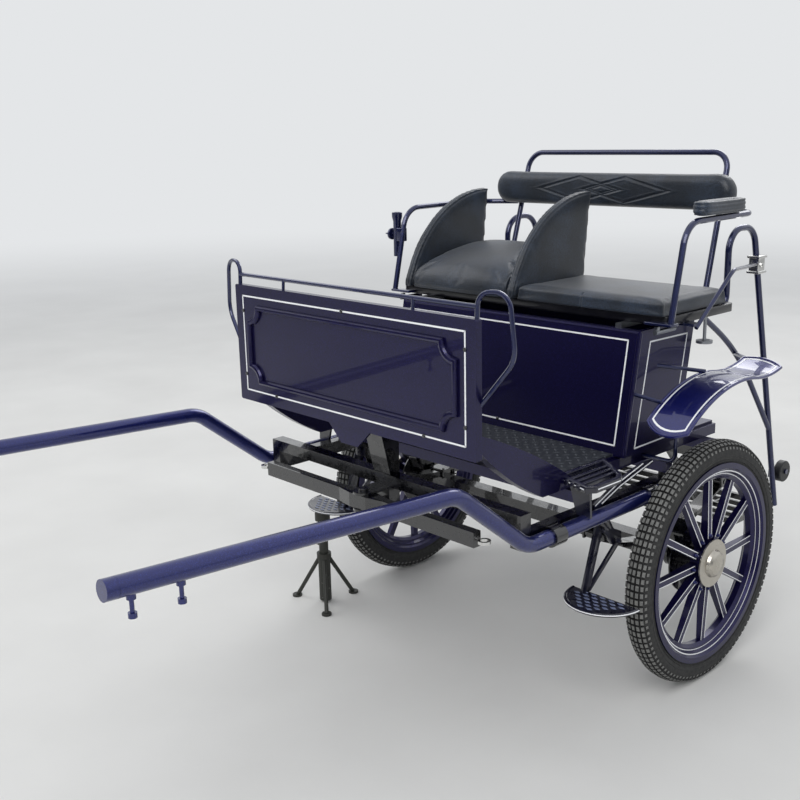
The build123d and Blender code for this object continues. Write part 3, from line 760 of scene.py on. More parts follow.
def dome_head(name: str, place: Vector, out: Vector, radius: float) -> bpy.types.Object:
    """Makes a low domed bolt head on its surface, pointing outwards, with a radius in metres."""
    head = start("cylinder", name, vertices=16, radius=radius, depth=radius * 0.7, location=(0, 0, radius * 0.3))
    with editing(head):
        pick(head, lambda face: face.normal.z > 0.9)
        bpy.ops.mesh.bevel(offset=radius * 0.5, segments=3, affect="EDGES")
    stand(head, place, out)
    return head


def on_circle(x: float, y: float, radius: float, turns: Iterable[float]) -> list[tuple[float, float]]:
    """Lists places on a circle.

    Args:
        x: The first coordinate of its centre.
        y: The second one.
        radius: Its radius; a negative one turns the places half round.
        turns: Their angles, in radians.

    Returns:
        The places' two coordinates.
    """
    return [(x + radius * math.cos(turn), y + radius * math.sin(turn)) for turn in turns]


@dataclass(frozen=True)
class Arc:
    """A circular arc through three points of a plane, in millimetres."""

    first: tuple[float, float]
    middle: tuple[float, float]
    last: tuple[float, float]

    def circle(self) -> tuple[float, float, float]:
        """The centre and radius of the arc's circle."""
        (ax, ay), (bx, by), (cx, cy) = self.first, self.middle, self.last
        area = 2 * (ax * (by - cy) + bx * (cy - ay) + cx * (ay - by))
        a, b, c = ax * ax + ay * ay, bx * bx + by * by, cx * cx + cy * cy
        x = (a * (by - cy) + b * (cy - ay) + c * (ay - by)) / area
        y = (a * (cx - bx) + b * (ax - cx) + c * (bx - ax)) / area
        return x, y, math.hypot(ax - x, ay - y)

    def points(self, steps: int) -> list[tuple[float, float]]:
        """The arc's points from its first to its last, in even steps."""
        x, y, radius = self.circle()
        begin = math.atan2(self.first[1] - y, self.first[0] - x)
        middle, last = ((math.atan2(p[1] - y, p[0] - x) - begin) % math.tau for p in (self.middle, self.last))
        sweep = last if middle < last else last - math.tau
        return on_circle(x, y, radius, (begin + sweep * i / steps for i in range(steps + 1)))

    def height(self, across: float) -> float:
        """The arc's second coordinate at a first one."""
        x, y, radius = self.circle()
        rise = math.sqrt(max(radius ** 2 - (across - x) ** 2, 0.0))
        return y + rise if self.middle[1] > y else y - rise


def rounded(corners: Sequence[Vector], bends: Sequence[float], steps: int = 8) -> list[Vector]:
    """Rounds the inner corners of an open line.

    Args:
        corners: The line's corners.
        bends: A bend radius for each inner corner, in millimetres.
        steps: The steps of each bend.

    Returns:
        The rounded line's points.
    """
    line = [corners[0]]
    for before, corner, after, bend in zip(corners, corners[1:], corners[2:], bends):
        back, onward = (before - corner).normalized(), (after - corner).normalized()
        half = back.angle(onward) / 2
        reach = bend * MM / math.tan(half)
        centre = corner + (back + onward).normalized() * bend * MM / math.sin(half)
        first = (corner + back * reach - centre).normalized()
        last = (corner + onward * reach - centre).normalized()
        line += [centre + first.slerp(last, i / steps) * bend * MM for i in range(steps + 1)]
    return line + [corners[-1]]


def slab(name: str, corners: Sequence[Vector], run: Vector) -> bpy.types.Object:
    """Makes a plate from a flat outline, extruded along a run.

    Args:
        name: The piece's name.
        corners: The outline's corners, in order.
        run: How far and which way it is extruded.

    Returns:
        The plate.
    """
    piece = start("circle", name, vertices=len(corners), fill_type="NGON")
    move_points(piece, corners)
    with editing(piece, everything=True):
        extrude(run)
    return piece


def side_slab(name: str, profile: Sequence[tuple[float, float]], x0: float, x1: float) -> bpy.types.Object:
    """Makes a plate from a side outline of (y, z) millimetres, between two widths."""
    return slab(name, [at(x0, y, z) for y, z in profile], Vector(((x1 - x0) * MM, 0, 0)))


def block(name: str, low: Sequence[float], high: Sequence[float], edge: float = 0.0) -> bpy.types.Object:
    """Makes a block between two corners in millimetres, with its edges eased.

    Args:
        name: The piece's name.
        low: Its lowest corner.
        high: Its highest corner.
        edge: The radius of its edges.

    Returns:
        The block.
    """
    (x0, y0, z0), (x1, y1, z1) = low, high
    piece = slab(name, [at(x0, y0, z0), at(x1, y0, z0), at(x1, y1, z0), at(x0, y1, z0)], Vector((0, 0, (z1 - z0) * MM)))
    if edge:
        modify(piece, "BEVEL", width=edge * MM, segments=3)
    return piece


def tube(name: str, line: Sequence[Vector], diameter: float, closed: bool = False) -> bpy.types.Object:
    """Draws a round bar along a line of points.

    Args:
        name: The piece's name.
        line: The points of its centre line.
        diameter: The bar's diameter, in millimetres.
        closed: Whether the line runs back to its start.

    Returns:
        The bar.
    """
    points = list(line) if len(line) > 2 else [line[0], (line[0] + line[1]) / 2, line[1]]
    piece = start("circle", name, vertices=len(points), fill_type="NOTHING")
    move_points(piece, points)
    if not closed:
        with editing(piece) as mesh:
            bpy.ops.mesh.select_mode(type="EDGE")
            for edge in mesh.edges:
                edge.select_set({vertex.index for vertex in edge.verts} == {0, len(points) - 1})
            bpy.ops.mesh.delete(type="EDGE")
    alone(piece)
    bpy.ops.object.convert(target="CURVE")
    drawn = bpy.context.object.data
    drawn.bevel_depth, drawn.bevel_resolution, drawn.use_fill_caps = diameter * MM / 2, 3, True
    bpy.ops.object.convert(target="MESH")
    piece = bpy.context.object
    piece.name = piece.data.name = name
    return piece


def laid_line(name: str, plan: Sequence[tuple[float, float]], inside: float, width: float,
              height: Callable[[float], float], lift: float = 0.5) -> bpy.types.Object:
    """Paints a closed line on a top that curves from front to rear, along its edge.

    Args:
        name: The piece's name.
        plan: The top's outline from above, as (x, y) millimetres.
        inside: How far the line stays inside that outline.
        width: The line's width.
        height: Gives the top's height at a y.
        lift: The paint's thickness.

    Returns:
        The line, a thin raised strip.
    """
    piece = start("circle", name, vertices=len(plan), fill_type="NGON")
    move_points(piece, [at(x, y, 0) for x, y in plan])
    with editing(piece, everything=True):
        bpy.ops.mesh.inset(thickness=inside * MM, use_even_offset=True)
        bpy.ops.mesh.select_all(action="INVERT")
        bpy.ops.mesh.delete(type="FACE")
        bpy.ops.mesh.select_all(action="SELECT")
        keep_band(width * MM)
    for vertex in piece.data.vertices:
        vertex.co.z = height((vertex.co.y - MIDDLE.y) / MM) * MM
    with editing(piece, everything=True):
        extrude((0, 0, lift * MM))
    return piece


# Sub-assemblies


@dataclass
class Wheel:
    """One wheel's tyre tread, painted lines and nuts. Sizes are in millimetres."""

    side: Side
    track_half: float = 611.0
    axle_height: float = 361.0
    tread_rows: int = 110
    tread_depth: float = 7.0
    fan_radius: float = 322.0    # the blocks' tops lean out from here
    spokes: int = 12
    line_radii: tuple[float, float] = (263.5, 273.0)

    @property
    def centre(self) -> Vector:
        """The wheel's middle."""
        return at(self.side.value * self.track_half, 0, self.axle_height)

    @property
    def body(self) -> str:
        """The CAD body that the wheel's pieces ride on."""
        return f"{self.side.word}_wheel"

    def build(self) -> None:
        """Builds the tyre, the lines on rim and spokes, and the nuts."""
        self.tyre()
        self.lines()
        self.nuts()

    def tyre(self) -> None:
        """Models the casing, and one row of tread blocks that is repeated round it."""
        low = self.axle_height - self.tread_depth
        section = [(-27, 287), (-28.5, 300), (-33.2, 312), (-34, 322), (-33, 334), (-29, 343), (-20, low - 3.6),
                   (-10, low - 0.9), (0, low), (10, low - 0.9), (20, low - 3.6), (29, 343), (33, 334), (34, 322),
                   (33.2, 312), (28.5, 300), (27, 287), (19, 287), (24, 318), (0, 344), (-24, 318), (-19, 287)]
        casing = spun("tyre_casing", section, 128, self.centre)
        beads = [spun("tyre_bead", [(x - 1.2, r), (x, r + 1.4), (x + 1.2, r), (x, r - 1.0)], 96, self.centre)
                 for x, r in ((32.6, 306), (-32.6, 306), (33.8, 318), (-33.8, 318))]
        tread = self.block_row()
        ring_of(tread, self.tread_rows, self.centre)
        settle(join([casing, *beads], f"{self.side.word}_tyre_casing"), self.body, RUBBER, "tyre_rubber",
               f"{self.side.word}_tyre")
        tread.name = tread.data.name = f"{self.side.word}_tyre_tread"
        settle(tread, self.body, RUBBER, "tyre_rubber", smooth=None)
        self.worn(tread)

    def block_row(self) -> bpy.types.Object:
        """Models one row of blocks across the tread, at its place on the wheel."""
        columns = ((0.0, 10.6, self.axle_height, 0.0, 16.4),
                   (13.2, 10.4, 359.2, -0.17, 16.4), (-13.2, 10.4, 359.2, 0.17, 16.4),
                   (25.4, 9.8, 353.4, -0.55, 15.6), (-25.4, 9.8, 353.4, 0.55, 15.6),
                   (32.2, 9.0, 340.5, -1.25, 11.0), (-32.2, 9.0, 340.5, 1.25, 11.0))
        blocks = []
        for x, width, top, tilt, length in columns:
            lug = start("cube", "tread_block", size=1)
            lug.data.transform(Matrix.Diagonal((width * MM, length * MM, (self.tread_depth + 2) * MM, 1)))
            with editing(lug):
                pick(lug, lambda face: face.normal.z > 0.9)
                bpy.ops.transform.resize(value=(0.9, 0.93, 1))
                bpy.ops.mesh.bevel(offset=0.7 * MM, segments=1, affect="EDGES")
            lug.data.transform(Matrix.Translation((0, 0, -(self.tread_depth + 2) / 2 * MM)))
            lug.data.transform(Matrix.Rotation(-tilt, 4, "Y"))
            lug.data.transform(Matrix.Translation((x * MM, 0, top * MM)))
            lug.data.transform(Matrix.Translation(self.centre))
            blocks.append(lug)
        return join(blocks, "tread_blocks")

    def worn(self, tread: bpy.types.Object) -> None:
        """Gives the blocks' tops the greyer rubber that the road has worn."""
        tread.data.materials.append(BLOCK_RUBBER.material())
        for face in tread.data.polygons:
            spot = face.center - self.centre
            radial = Vector((0, spot.y, spot.z))
            out = Vector((spot.x, 0, 0)) + radial.normalized() * (radial.length - self.fan_radius * MM)
            face.material_index = int(face.normal.dot(out.normalized()) > 0.86)

    def lines(self) -> None:
        """Paints two lines round the rim and a line down each edge of each spoke."""
        out = Vector((self.side.value, 0, 0))
        pieces = []
        for radius, face in zip(self.line_radii, (17.0, 26.0)):
            x = self.side.value * (face + 0.3)
            section = [(x - 0.5 * self.side.value, radius - 1.6), (x, radius - 1.6), (x, radius + 1.6),
                       (x - 0.5 * self.side.value, radius + 1.6)]
            pieces.append(spun("rim_line", section, 128, self.centre))
        for edge in (-9.0, 9.0):
            inner = self.centre + Vector((self.side.value * 15.2 * MM, edge * MM, 74 * MM))
            outer = self.centre + Vector((self.side.value * 8.25 * MM, edge * MM, 249 * MM))
            lines = strip("spoke_line", inner, outer, 2.4 * MM, out)
            ring_of(lines, self.spokes, self.centre)
            pieces.append(lines)
        settle(join(pieces, f"{self.side.word}_wheel_lines"), self.body, LINING, "tube_paint")

    def nuts(self) -> None:
        """Sets a nut on each spoke by the hub flange."""
        out = Vector((self.side.value, 0, 0))
        near = hex_bolt("spoke_nut", self.centre + Vector((self.side.value * 14.6 * MM, 0, 82 * MM)), out, 11 * MM)
        ring_of(near, self.spokes, self.centre)
        settle(near, self.body, SHAFT_BLUE, "tube_paint")
        near.name = near.data.name = f"{self.side.word}_spoke_nuts"


@dataclass
class PaintedLines:
    """The white lining of the body. Sizes are in millimetres."""

    width: float = 4.6
    board_half: float = 449.0
    board_face: float = -832.0
    board_outer: float = 476.0
    board_span: tuple[float, float] = (830.0, 1164.0)
    line_span: tuple[float, float] = (855.0, 1141.0)
    box_front: float = -221.0
    box_back: float = 50.0
    box_corner: float = 469.0
    box_top: float = 1040.0
    bead: float = 15.0
    rake: float = 0.18
    floor_top: float = 694.0

    def raked(self, y: float, z: float) -> float:
        """The Y at a height of an edge of the seat box that starts at y on the floor."""
        return y + (z - self.floor_top) * self.rake

    def build(self) -> None:
        """Lays every line of the body, and sets the small bolts that show in them."""
        self.board()
        self.box()
        self.bolts()
        self.beads()

    def board(self) -> None:
        """The rectangle on the splash board."""
        half, face, (low, high) = self.board_half, self.board_face, self.line_span
        corners = [at(x, face, z) for x, z in ((-half, low), (half, low), (half, high), (-half, high))]
        settle(outline("board_line", corners, self.width * MM, 2 * MM), "chassis", LINING, "panel_paint")

    def box(self) -> None:
        """The lines on the seat box: one on its front, one on its back and one on each side."""
        half, low, high = 440, 721, 1019
        front = [at(x, self.raked(self.box_front, z), z)
                 for x, z in ((-half, low), (half, low), (half, high), (-half, high))]
        back = [at(x, self.raked(self.box_back, z), z)
                for x, z in ((half, low), (-half, low), (-half, high), (half, high))]
        side = [at(475, y, z) for y, z in ((-174, 710), (19, 712), (79, 1010), (-112, 1012))]
        pieces = [outline("box_line", corners, self.width * MM, 2 * MM) for corners in (front, back, side)]
        pieces.append(mirrored(pieces[-1]))
        settle(join(pieces, "box_lines"), "chassis", LINING, "panel_paint")

    def bolts(self) -> None:
        """The dark domed bolts that hold the panels: on the board's line and at the foot of the box front."""
        face, half = self.board_face, self.board_half - self.width / 2
        spots = [at(0, face, 1138.7)] + [at(x, face, z) for x in (-half, half) for z in (1095, 905)]
        spots += [at(x, face, 857.3) for x in (-304, 304)]
        spots += [at(0, self.raked(self.box_front, 723), 723)]
        heads = [dome_head("panel_bolt", spot, Vector((0, -1, 0)), 5.5 * MM) for spot in spots]
        settle(join(heads, "panel_bolts"), "chassis", CHASSIS_BLACK, "panel_paint")

    def beads(self) -> None:
        """The rounded moulding on the board, and the rounded edges of board and box that catch the light."""
        face, wide, low, high, cut = self.board_face, 416.5, 888.5, 1107.5, 45
        ring = []
        for sx, sz in ((1, 1), (-1, 1), (-1, -1), (1, -1)):
            z = high if sz > 0 else low
            scoop = [(sx * (wide - cut * math.sin(turn)), z - sz * cut * math.cos(turn))
                     for turn in [math.radians(15 * step) for step in range(7)]]
            ring += scoop if sx * sz > 0 else scoop[::-1]
        moulding = tube("board_moulding", [at(x, face - 2, z) for x, z in ring], 20, closed=True)
        edge, (foot, head) = self.board_outer, self.board_span
        rim = tube("board_edge", [at(x, face + 10, z) for x, z in
                                  ((edge, foot), (edge, head), (-edge, head), (-edge, foot))], self.bead, closed=True)
        settle(join([moulding, rim], "board_beads"), "chassis", NAVY, "panel_paint")
        corners = [tube("box_corner", [at(side * self.box_corner, self.raked(self.box_front, z) + 6, z)
                                       for z in (700, 870, self.box_top)], self.bead) for side in (1, -1)]
        lip = self.raked(self.box_front, self.box_top) + 6
        top = tube("box_lip", [at(side * self.box_corner, lip, self.box_top - 2) for side in (-1, 0, 1)], self.bead)
        settle(join(corners + [top], "box_beads"), "chassis", NAVY, "panel_paint")


@dataclass
class Mudguards:
    """The two guards: S-curved sheets with a rolled edge and a white line, on round stays. Millimetres."""

    inner: float = 545.0
    outer: float = 677.0
    gauge: float = 4.0
    roll: float = 9.0
    crest: Arc = Arc((-252, 783), (-80, 883), (50, 903))
    waist: Arc = Arc((50, 903), (84, 901.4), (118, 897))
    tail: Arc = Arc((118, 897), (193, 893), (296, 917))
    front: Arc = Arc((545, -214), (611, -242), (677, -228))
    rear: Arc = Arc((545, 280), (611, 288), (677, 258))

    def height(self, y: float) -> float:
        """The sheet's middle height at a y."""
        arc = self.crest if y < self.crest.last[0] else self.waist if y < self.waist.last[0] else self.tail
        return arc.height(y)

    def top(self, y: float) -> float:
        """The height of the sheet's upper face at a y."""
        rise = self.height(y + 1) - self.height(y - 1)
        return self.height(y) + self.gauge / 2 * math.hypot(1, rise / 2)

    def plan(self, steps: int = 26) -> list[tuple[float, float]]:
        """The sheet's outline from above."""
        front, rear = self.front.points(8), self.rear.points(8)
        outer = [(self.outer, front[-1][1] + (rear[-1][1] - front[-1][1]) * i / steps) for i in range(1, steps)]
        inner = [(self.inner, rear[0][1] + (front[0][1] - rear[0][1]) * i / steps) for i in range(1, steps)]
        return front + outer + rear[::-1] + inner

    def build(self) -> None:
        """Builds the left guard, its line and stays, and mirrors them."""
        sheet = start("grid", "guard_sheet", x_subdivisions=8, y_subdivisions=48, size=1)
        for vertex in sheet.data.vertices:
            x = self.inner + (vertex.co.x + 0.5) * (self.outer - self.inner)
            first, last = self.front.height(x), self.rear.height(x)
            y = first + (vertex.co.y + 0.5) * (last - first)
            vertex.co = at(x, y, self.height(y))
        modify(sheet, "SOLIDIFY", thickness=self.gauge * MM, offset=0.0)
        edge = tube("guard_roll", [at(x, y, self.height(y)) for x, y in self.plan()], self.roll, closed=True)
        left = join([sheet, edge], "left_guard")
        for guard, word in ((left, "left"), (mirrored(left), "right")):
            guard.name = guard.data.name = f"{word}_mudguard_sheet"
            settle(guard, "chassis", WING_BLUE, "panel_paint", "mudguards")
        both_sides([laid_line("guard_line", self.plan(), 9.5, 4.6, self.top)], "mudguard_lines", LINING, "panel_paint")
        self.stays()

    def stays(self) -> None:
        """Draws the stays from the body and the rear bar to the guard."""
        runs = [[at(464, -179, 872), at(549, -157, 856.5)], [at(466, -78, 937), at(551, 56, 908.5)],
                [at(444, 405, 892), at(580, 278, 905)],
                rounded([at(446, -95, 672), at(560, -95, 672), at(560, -95, 876)], [25])]
        both_sides([tube("guard_stay", run, 12) for run in runs], "guard_stays", TUBE_NAVY, "tube_paint",
                   "mudguard_stays")


@dataclass
class UpperStep:
    """The slatted step beside the floor, its bracket on the shaft and the flat bar behind. Millimetres."""

    outline: tuple[tuple[float, float], ...] = ((440, -470), (560, -507), (578, -484), (578, -378), (562, -352),
                                                (440, -262))
    low: float = 682.0
    high: float = 700.0
    border: float = 15.0
    slats: tuple[float, ...] = (479, 503, 527)
    slat: float = 11.0

    def build(self) -> None:
        """Builds the left step, its bracket, its bar and their lines, and mirrors them."""
        ring = start("circle", "step_frame", vertices=len(self.outline), fill_type="NGON")
        move_points(ring, [at(x, y, self.low) for x, y in self.outline])
        with editing(ring, everything=True):
            keep_band(self.border * MM)
            bpy.ops.mesh.select_all(action="SELECT")
            extrude((0, 0, (self.high - self.low) * MM))
        modify(ring, "BEVEL", width=1.5 * MM, segments=2)
        pieces = [ring]
        inner, outer = self.outline[0][0], self.outline[4][0]
        for x in self.slats:
            share = (x + self.slat / 2 - inner) / (outer - inner)
            low, high = (x, -478 - 36 * share, 684), (x + self.slat, -272 - 84 * share, 699)
            pieces.append(block("step_slat", low, high, 1.5))
        bracket = [at(x, -480, z) for x, z in ((489, 684), (552, 684), (557, 606), (511, 606))]
        pieces.append(slab("step_bracket", bracket, Vector((0, 8 * MM, 0))))
        pieces.append(side_slab("step_bar", ((-413, 604), (-413, 617), (-307, 658), (-191, 686), (-150, 686),
                                             (-141, 674), (-301, 637), (-382, 609), (-382, 604)), 512, 519))
        both_sides(pieces, "slatted_steps", STEP_NAVY, "panel_paint", "upper_steps")
        rows = [[at(455, -475.2, 692), at(553, -505.4, 692)], [at(578.6, -478, 692), at(578.6, -382, 692)],
                [at(519.4, y, z) for y, z in ((-409, 614), (-306, 654), (-192, 682))],
                [at(519.4, y, z) for y, z in ((-380, 613), (-300, 642), (-146, 679))]]
        both_sides([tube("step_line", row, 3.4) for row in rows], "step_lines", LINING, "panel_paint")


@dataclass
class LowerStep:
    """The half-moon step with raised lozenges and a rolled rim, on two flat straps. Millimetres."""

    radius: float = 105.0
    centre: tuple[float, float] = (555.0, -405.0)
    bottom: float = 356.0
    gauge: float = 5.0
    rim: float = 12.0
    lozenge: tuple[float, float, float] = (11.5, 5.5, 1.8)
    pitch: tuple[float, float] = (29.0, 16.0)

    def build(self) -> None:
        """Builds the left step and mirrors it."""
        cx, cy = self.centre
        arc = Arc((cx + self.radius, cy), (cx, cy - self.radius), (cx - self.radius, cy)).points(40)
        plate = slab("step_plate", [at(x, y, self.bottom) for x, y in arc], Vector((0, 0, self.gauge * MM)))
        rim = tube("step_rim", [at(x, y, self.bottom + 1) for x, y in arc], self.rim)
        straps = [side_slab("step_strap", ((-378, 545), (-345, 530), (cy + 4, 360), (cy - 32, 360)), 495, 502),
                  side_slab("step_strap", ((-290, 466), (-262, 466), (cy + 10, 360), (cy - 14, 360)), 495, 502),
                  side_slab("step_bracket", ((-378, 576), (-330, 576), (-286, 510), (-249, 492), (-249, 463),
                                             (-292, 463), (-345, 528), (-378, 538)), 485, 495)]
        for strap in straps:
            modify(strap, "BEVEL", width=1.2 * MM, segments=2)
        bolts = [hex_bolt("strap_bolt", at(502, y, z), Vector((1, 0, 0)), 15 * MM)
                 for y, z in ((-356, 529), (-278, 474))]
        both_sides([plate, rim, *straps, *bolts], "lower_step_plates", STEP_NAVY, "chassis_paint", "lower_steps")
        both_sides([self.studs()], "step_studs", STUD_ENAMEL, "chassis_paint")
        outer = self.radius + self.rim / 2 - 0.9
        ring = Arc((cx + outer, cy), (cx, cy - outer), (cx - outer, cy)).points(40)
        line = tube("rim_line", [at(x, y, self.bottom + 2) for x, y in ring], 3.4)
        both_sides([line], "step_rim_lines", LINING, "chassis_paint")

    def studs(self) -> bpy.types.Object:
        """Lays the raised lozenges in staggered rows inside the rim."""
        cx, cy = self.centre
        long, wide, high = self.lozenge
        along, across = self.pitch
        top = self.bottom + self.gauge
        stud = slab("stud", [at(x, y, top) for x, y in ((-long, 0), (0, -wide), (long, 0), (0, wide))],
                    Vector((0, 0, high * MM)))
        modify(stud, "BEVEL", width=0.8 * MM, segments=1)
        made = []
        for row in range(6):
            y = -10 - row * across
            for column in range(-4, 5):
                x = (column + (row % 2) / 2) * along
                if math.hypot(abs(x) + long, y) < self.radius - self.rim / 2:
                    made.append(duplicate(stud, Matrix.Translation(Vector((cx + x, cy + y, 0)) * MM)))
        bpy.data.objects.remove(stud)
        return join(made, "studs")


@dataclass
class SeatFrame:
    """The seat board, the arm tubes, the whip socket, the hand hoops and the bar clamps. Millimetres."""

    arm_x: float = 549.0

    def build(self) -> None:
        """Builds every piece."""
        self.board()
        self.arms()
        self.socket()
        self.hoops()
        self.clamps()

    def board(self) -> None:
        """The black board under the cushions, with round corners."""
        corner = 22
        plan = []
        for x, y, turn in ((508, 218, 0), (-508, 218, 90), (-508, -86, 180), (508, -86, 270)):
            plan += on_circle(x, y, corner, [math.radians(turn + step) for step in (0, 22.5, 45, 67.5, 90)])
        board = slab("seat_board", [at(x, y, 1058) for x, y in plan], Vector((0, 0, 25 * MM)))
        modify(board, "BEVEL", width=2 * MM, segments=2)
        settle(board, "chassis", TRAY_BLACK, "seat_board", "seat_tray")

    def arms(self) -> None:
        """Both arm tubes, bent back to the bow, on flat feet."""
        x = self.arm_x
        bar = tube("arm_tube", rounded([at(x, -128, 1068), at(x, -68, 1339), at(x, 268, 1343), at(406, 352, 1343)],
                                       [75, 45], 12), 18)
        foot = block("arm_foot", (470, -140, 1062), (x + 8, -100, 1070), 2)
        both_sides([bar, foot], "arm_tubes", TUBE_NAVY, "tube_paint", "armrests")

    def socket(self) -> None:
        """The whip socket with its flared mouth, clamp and hand screw, outside the right arm."""
        x, y, z = -self.arm_x - 34, -80, 1250
        wall = [(-75, 0.4), (-75, 14), (45, 14), (59, 18), (74, 18), (75, 17), (75, 13), (72, 11), (-67, 11),
                (-67, 0.4)]
        cup = spun("socket_cup", wall, 32, Vector((0, 0, 0)))
        cup.data.transform(Matrix.Translation(at(x, y, z)) @ Matrix.Rotation(-math.pi / 2, 4, "Y"))
        knob = spun("socket_knob", [(-58, 0.4), (-58, 2.5), (-33, 2.5), (-32, 14), (-30, 20), (-24, 20), (-22, 17),
                                    (-22, 6), (0, 6), (0, 0.4)], 32, at(x, y, z))
        clamp = block("socket_clamp", (x + 8, y - 14, z - 23), (-self.arm_x + 2, y + 12, z + 23), 3)
        settle(join([cup, knob, clamp], "whip_socket_cup"), "chassis", TUBE_NAVY, "tube_paint", "whip_socket")

    def hoops(self) -> None:
        """The hand hoops that stand on the board's ends, and the rail between them."""
        line = rounded([at(474, -820, 1150), at(474, -816, 1232), at(556, -800, 1236), at(572, -796, 1080),
                        at(470, -813, 952)], [34, 40, 80])
        both_sides([tube("hand_hoop", line, 12)], "hand_hoops", TUBE_NAVY, "tube_paint", "grab_hoops")
        rods = [tube("board_rail", [at(-474, -818, 1198), at(474, -818, 1198)], 12)]
        rods += [tube("rail_post", [at(x, -822, 1168), at(x, -820, 1198)], 9) for x in (-262, 262)]
        settle(join(rods, "splash_rail"), "chassis", TUBE_NAVY, "tube_paint", "board_rail")

    def clamps(self) -> None:
        """The bright flanged clamps on the rear bars."""
        x, y = 444, 513
        parts = [block("clamp", (x - 17, y - 20, 1136), (x + 17, y + 20, 1188), 3)]
        parts += [block("clamp", (x - 22, y - 25, z), (x + 22, y + 25, z + 9), 3) for z in (1134, 1182)]
        parts.append(hex_bolt("clamp_bolt", at(x + 17, y - 6, 1162), Vector((1, 0, 0)), 13 * MM))
        both_sides(parts, "bar_clamp_blocks", CHROME, "bright", "bar_clamps")


@dataclass
class Upholstery:
    """The padded pieces: each starts from its cut shape and is filled by a cloth simulation. Millimetres."""

    voxel: float = 5.0
    roll_voxel: float = 8.0    # its diamonds need a second subdivision
    pressure: float = 4.0
    frames: int = 20
    ironed: int = 5
    seat: float = 1083.0
    roll_height: float = 1396.0
    seam_x: float = 238.0

    def shapes(self) -> dict[str, tuple[bpy.types.Object, float]]:
        """Cuts each padded piece's shape.

        Returns:
            CAD node to its shape and the farthest that its skin may swell, in millimetres.
        """
        seat = self.seat
        flat = block("passenger_pad", (-4, -126, seat), (522, 208, seat + 41), 3)
        brow, nose = Arc((228, 1216), (60, 1211), (-96, 1167)), Arc((-96, 1167), (-132, 1145), (-141, 1106))
        outline_points = [(228, seat)] + brow.points(14) + nose.points(6)[1:] + [(-141, seat)]
        wedge = side_slab("driver_pad", outline_points, -462, -47)
        back = Arc((-134, 1110), (-22, 1290), (252, 1400))
        profile = [(-134, seat)] + back.points(20) + [(263, 1396), (234, seat)]
        wings = join([side_slab("wing_pad", profile, x0, x1) for x0, x1 in ((-40, -14), (-496, -468))], "wing_pads")
        turns = [math.pi * (i / 12 - 0.5) for i in range(13)]
        rim = [place for side in (1, -1) for place in on_circle(side * 412, self.roll_height, side * 56, turns)]
        roll = slab("roll_pad", [at(x, 290, z) for x, z in rim], Vector((0, 62 * MM, 0)))
        modify(roll, "BEVEL", width=22 * MM, segments=5, limit_method="ANGLE", angle_limit=math.radians(50))
        arm = join([self.oblong("arm_band", (525, -18), (573, 208), 1352, 12),
                    self.oblong("arm_pad", (523, -20), (575, 210), 1364, 27)], "arm_pad")
        return {"passenger_cushion": (flat, 7.0), "driver_cushion": (wedge, 9.0), "driver_wings": (wings, 6.0),
                "backrest_roll": (roll, 4.0), "arm_pads": (arm, 3.0)}

    @staticmethod
    def oblong(name: str, low: tuple[float, float], high: tuple[float, float], bottom: float,
               thick: float) -> bpy.types.Object:
        """Cuts a flat pad with round ends.

        Args:
            name: The piece's name.
            low: Its lowest x and y.
            high: Its highest x and y.
            bottom: Its lower face's height.
            thick: Its thickness.

        Returns:
            The pad.
        """
        radius = (high[0] - low[0]) / 2
        x = (low[0] + high[0]) / 2
        turns = [math.pi * i / 10 for i in range(11)]
        plan = on_circle(x, high[1] - radius, radius, turns) + on_circle(x, low[1] + radius, -radius, turns)
        return slab(name, [at(px, py, bottom) for px, py in plan], Vector((0, 0, thick * MM)))

    def build(self) -> None:
        """Makes every padded piece."""
        cut = self.shapes()
        pads = {node: self.skin(shape, self.roll_voxel if node == "backrest_roll" else self.voxel)
                for node, (shape, _) in cut.items()}
        self.crown(pads["driver_cushion"])
        self.fill(pads, {node: cap for node, (_, cap) in cut.items()})
        for node, pad in pads.items():
            modify(pad, "SUBSURF", levels=1, render_levels=1)
            self.sew(pad, node)
            settle(pad, "chassis", LEATHER, "upholstery", node, smooth=60.0)

    def skin(self, piece: bpy.types.Object, voxel: float) -> bpy.types.Object:
        """Turns a cut shape into one closed, evenly meshed skin that knows how far each point is from a seam.

        Args:
            piece: The cut shape.
            voxel: The mesh's pitch, in millimetres.

        Returns:
            The skin.
        """
        sharp = []
        with editing(piece) as mesh:
            for edge in mesh.edges:
                if len(edge.link_faces) == 2 and edge.calc_face_angle() > math.radians(50):
                    start_at, end_at = (vertex.co.copy() for vertex in edge.verts)
                    steps = max(1, int((end_at - start_at).length / (2 * MM)))
                    sharp += [start_at.lerp(end_at, i / steps) for i in range(steps + 1)]
        modify(piece, "REMESH", mode="VOXEL", voxel_size=voxel * MM)
        modify(piece, "SMOOTH", factor=0.5, iterations=3)
        tree = KDTree(max(len(sharp), 1))
        for index, point in enumerate(sharp or [Vector((0, 0, -1))]):
            tree.insert(point, index)
        tree.balance()
        gaps = [tree.find(vertex.co)[2] / MM for vertex in piece.data.vertices]
        piece.data.attributes.new("seam_gap", "FLOAT", "POINT").data.foreach_set("value", gaps)
        return piece

    def crown(self, pad: bpy.types.Object) -> None:
        """Domes the driver's cushion: its sides fall away from its middle, and its nose rounds back."""
        co = self.points(pad)
        low, high = co.min(axis=0), co.max(axis=0)
        aside = np.abs(co[:, 0] - (low[0] + high[0]) / 2) / ((high[0] - low[0]) / 2)
        up = (co[:, 2] - low[2]) / (high[2] - low[2])
        co[:, 2] -= 20 * MM * aside ** 2.6 * up
        co[:, 1] += 14 * MM * aside ** 3 * np.clip(1 - (co[:, 1] - low[1]) / (120 * MM), 0, 1)
        self.put(pad, co)

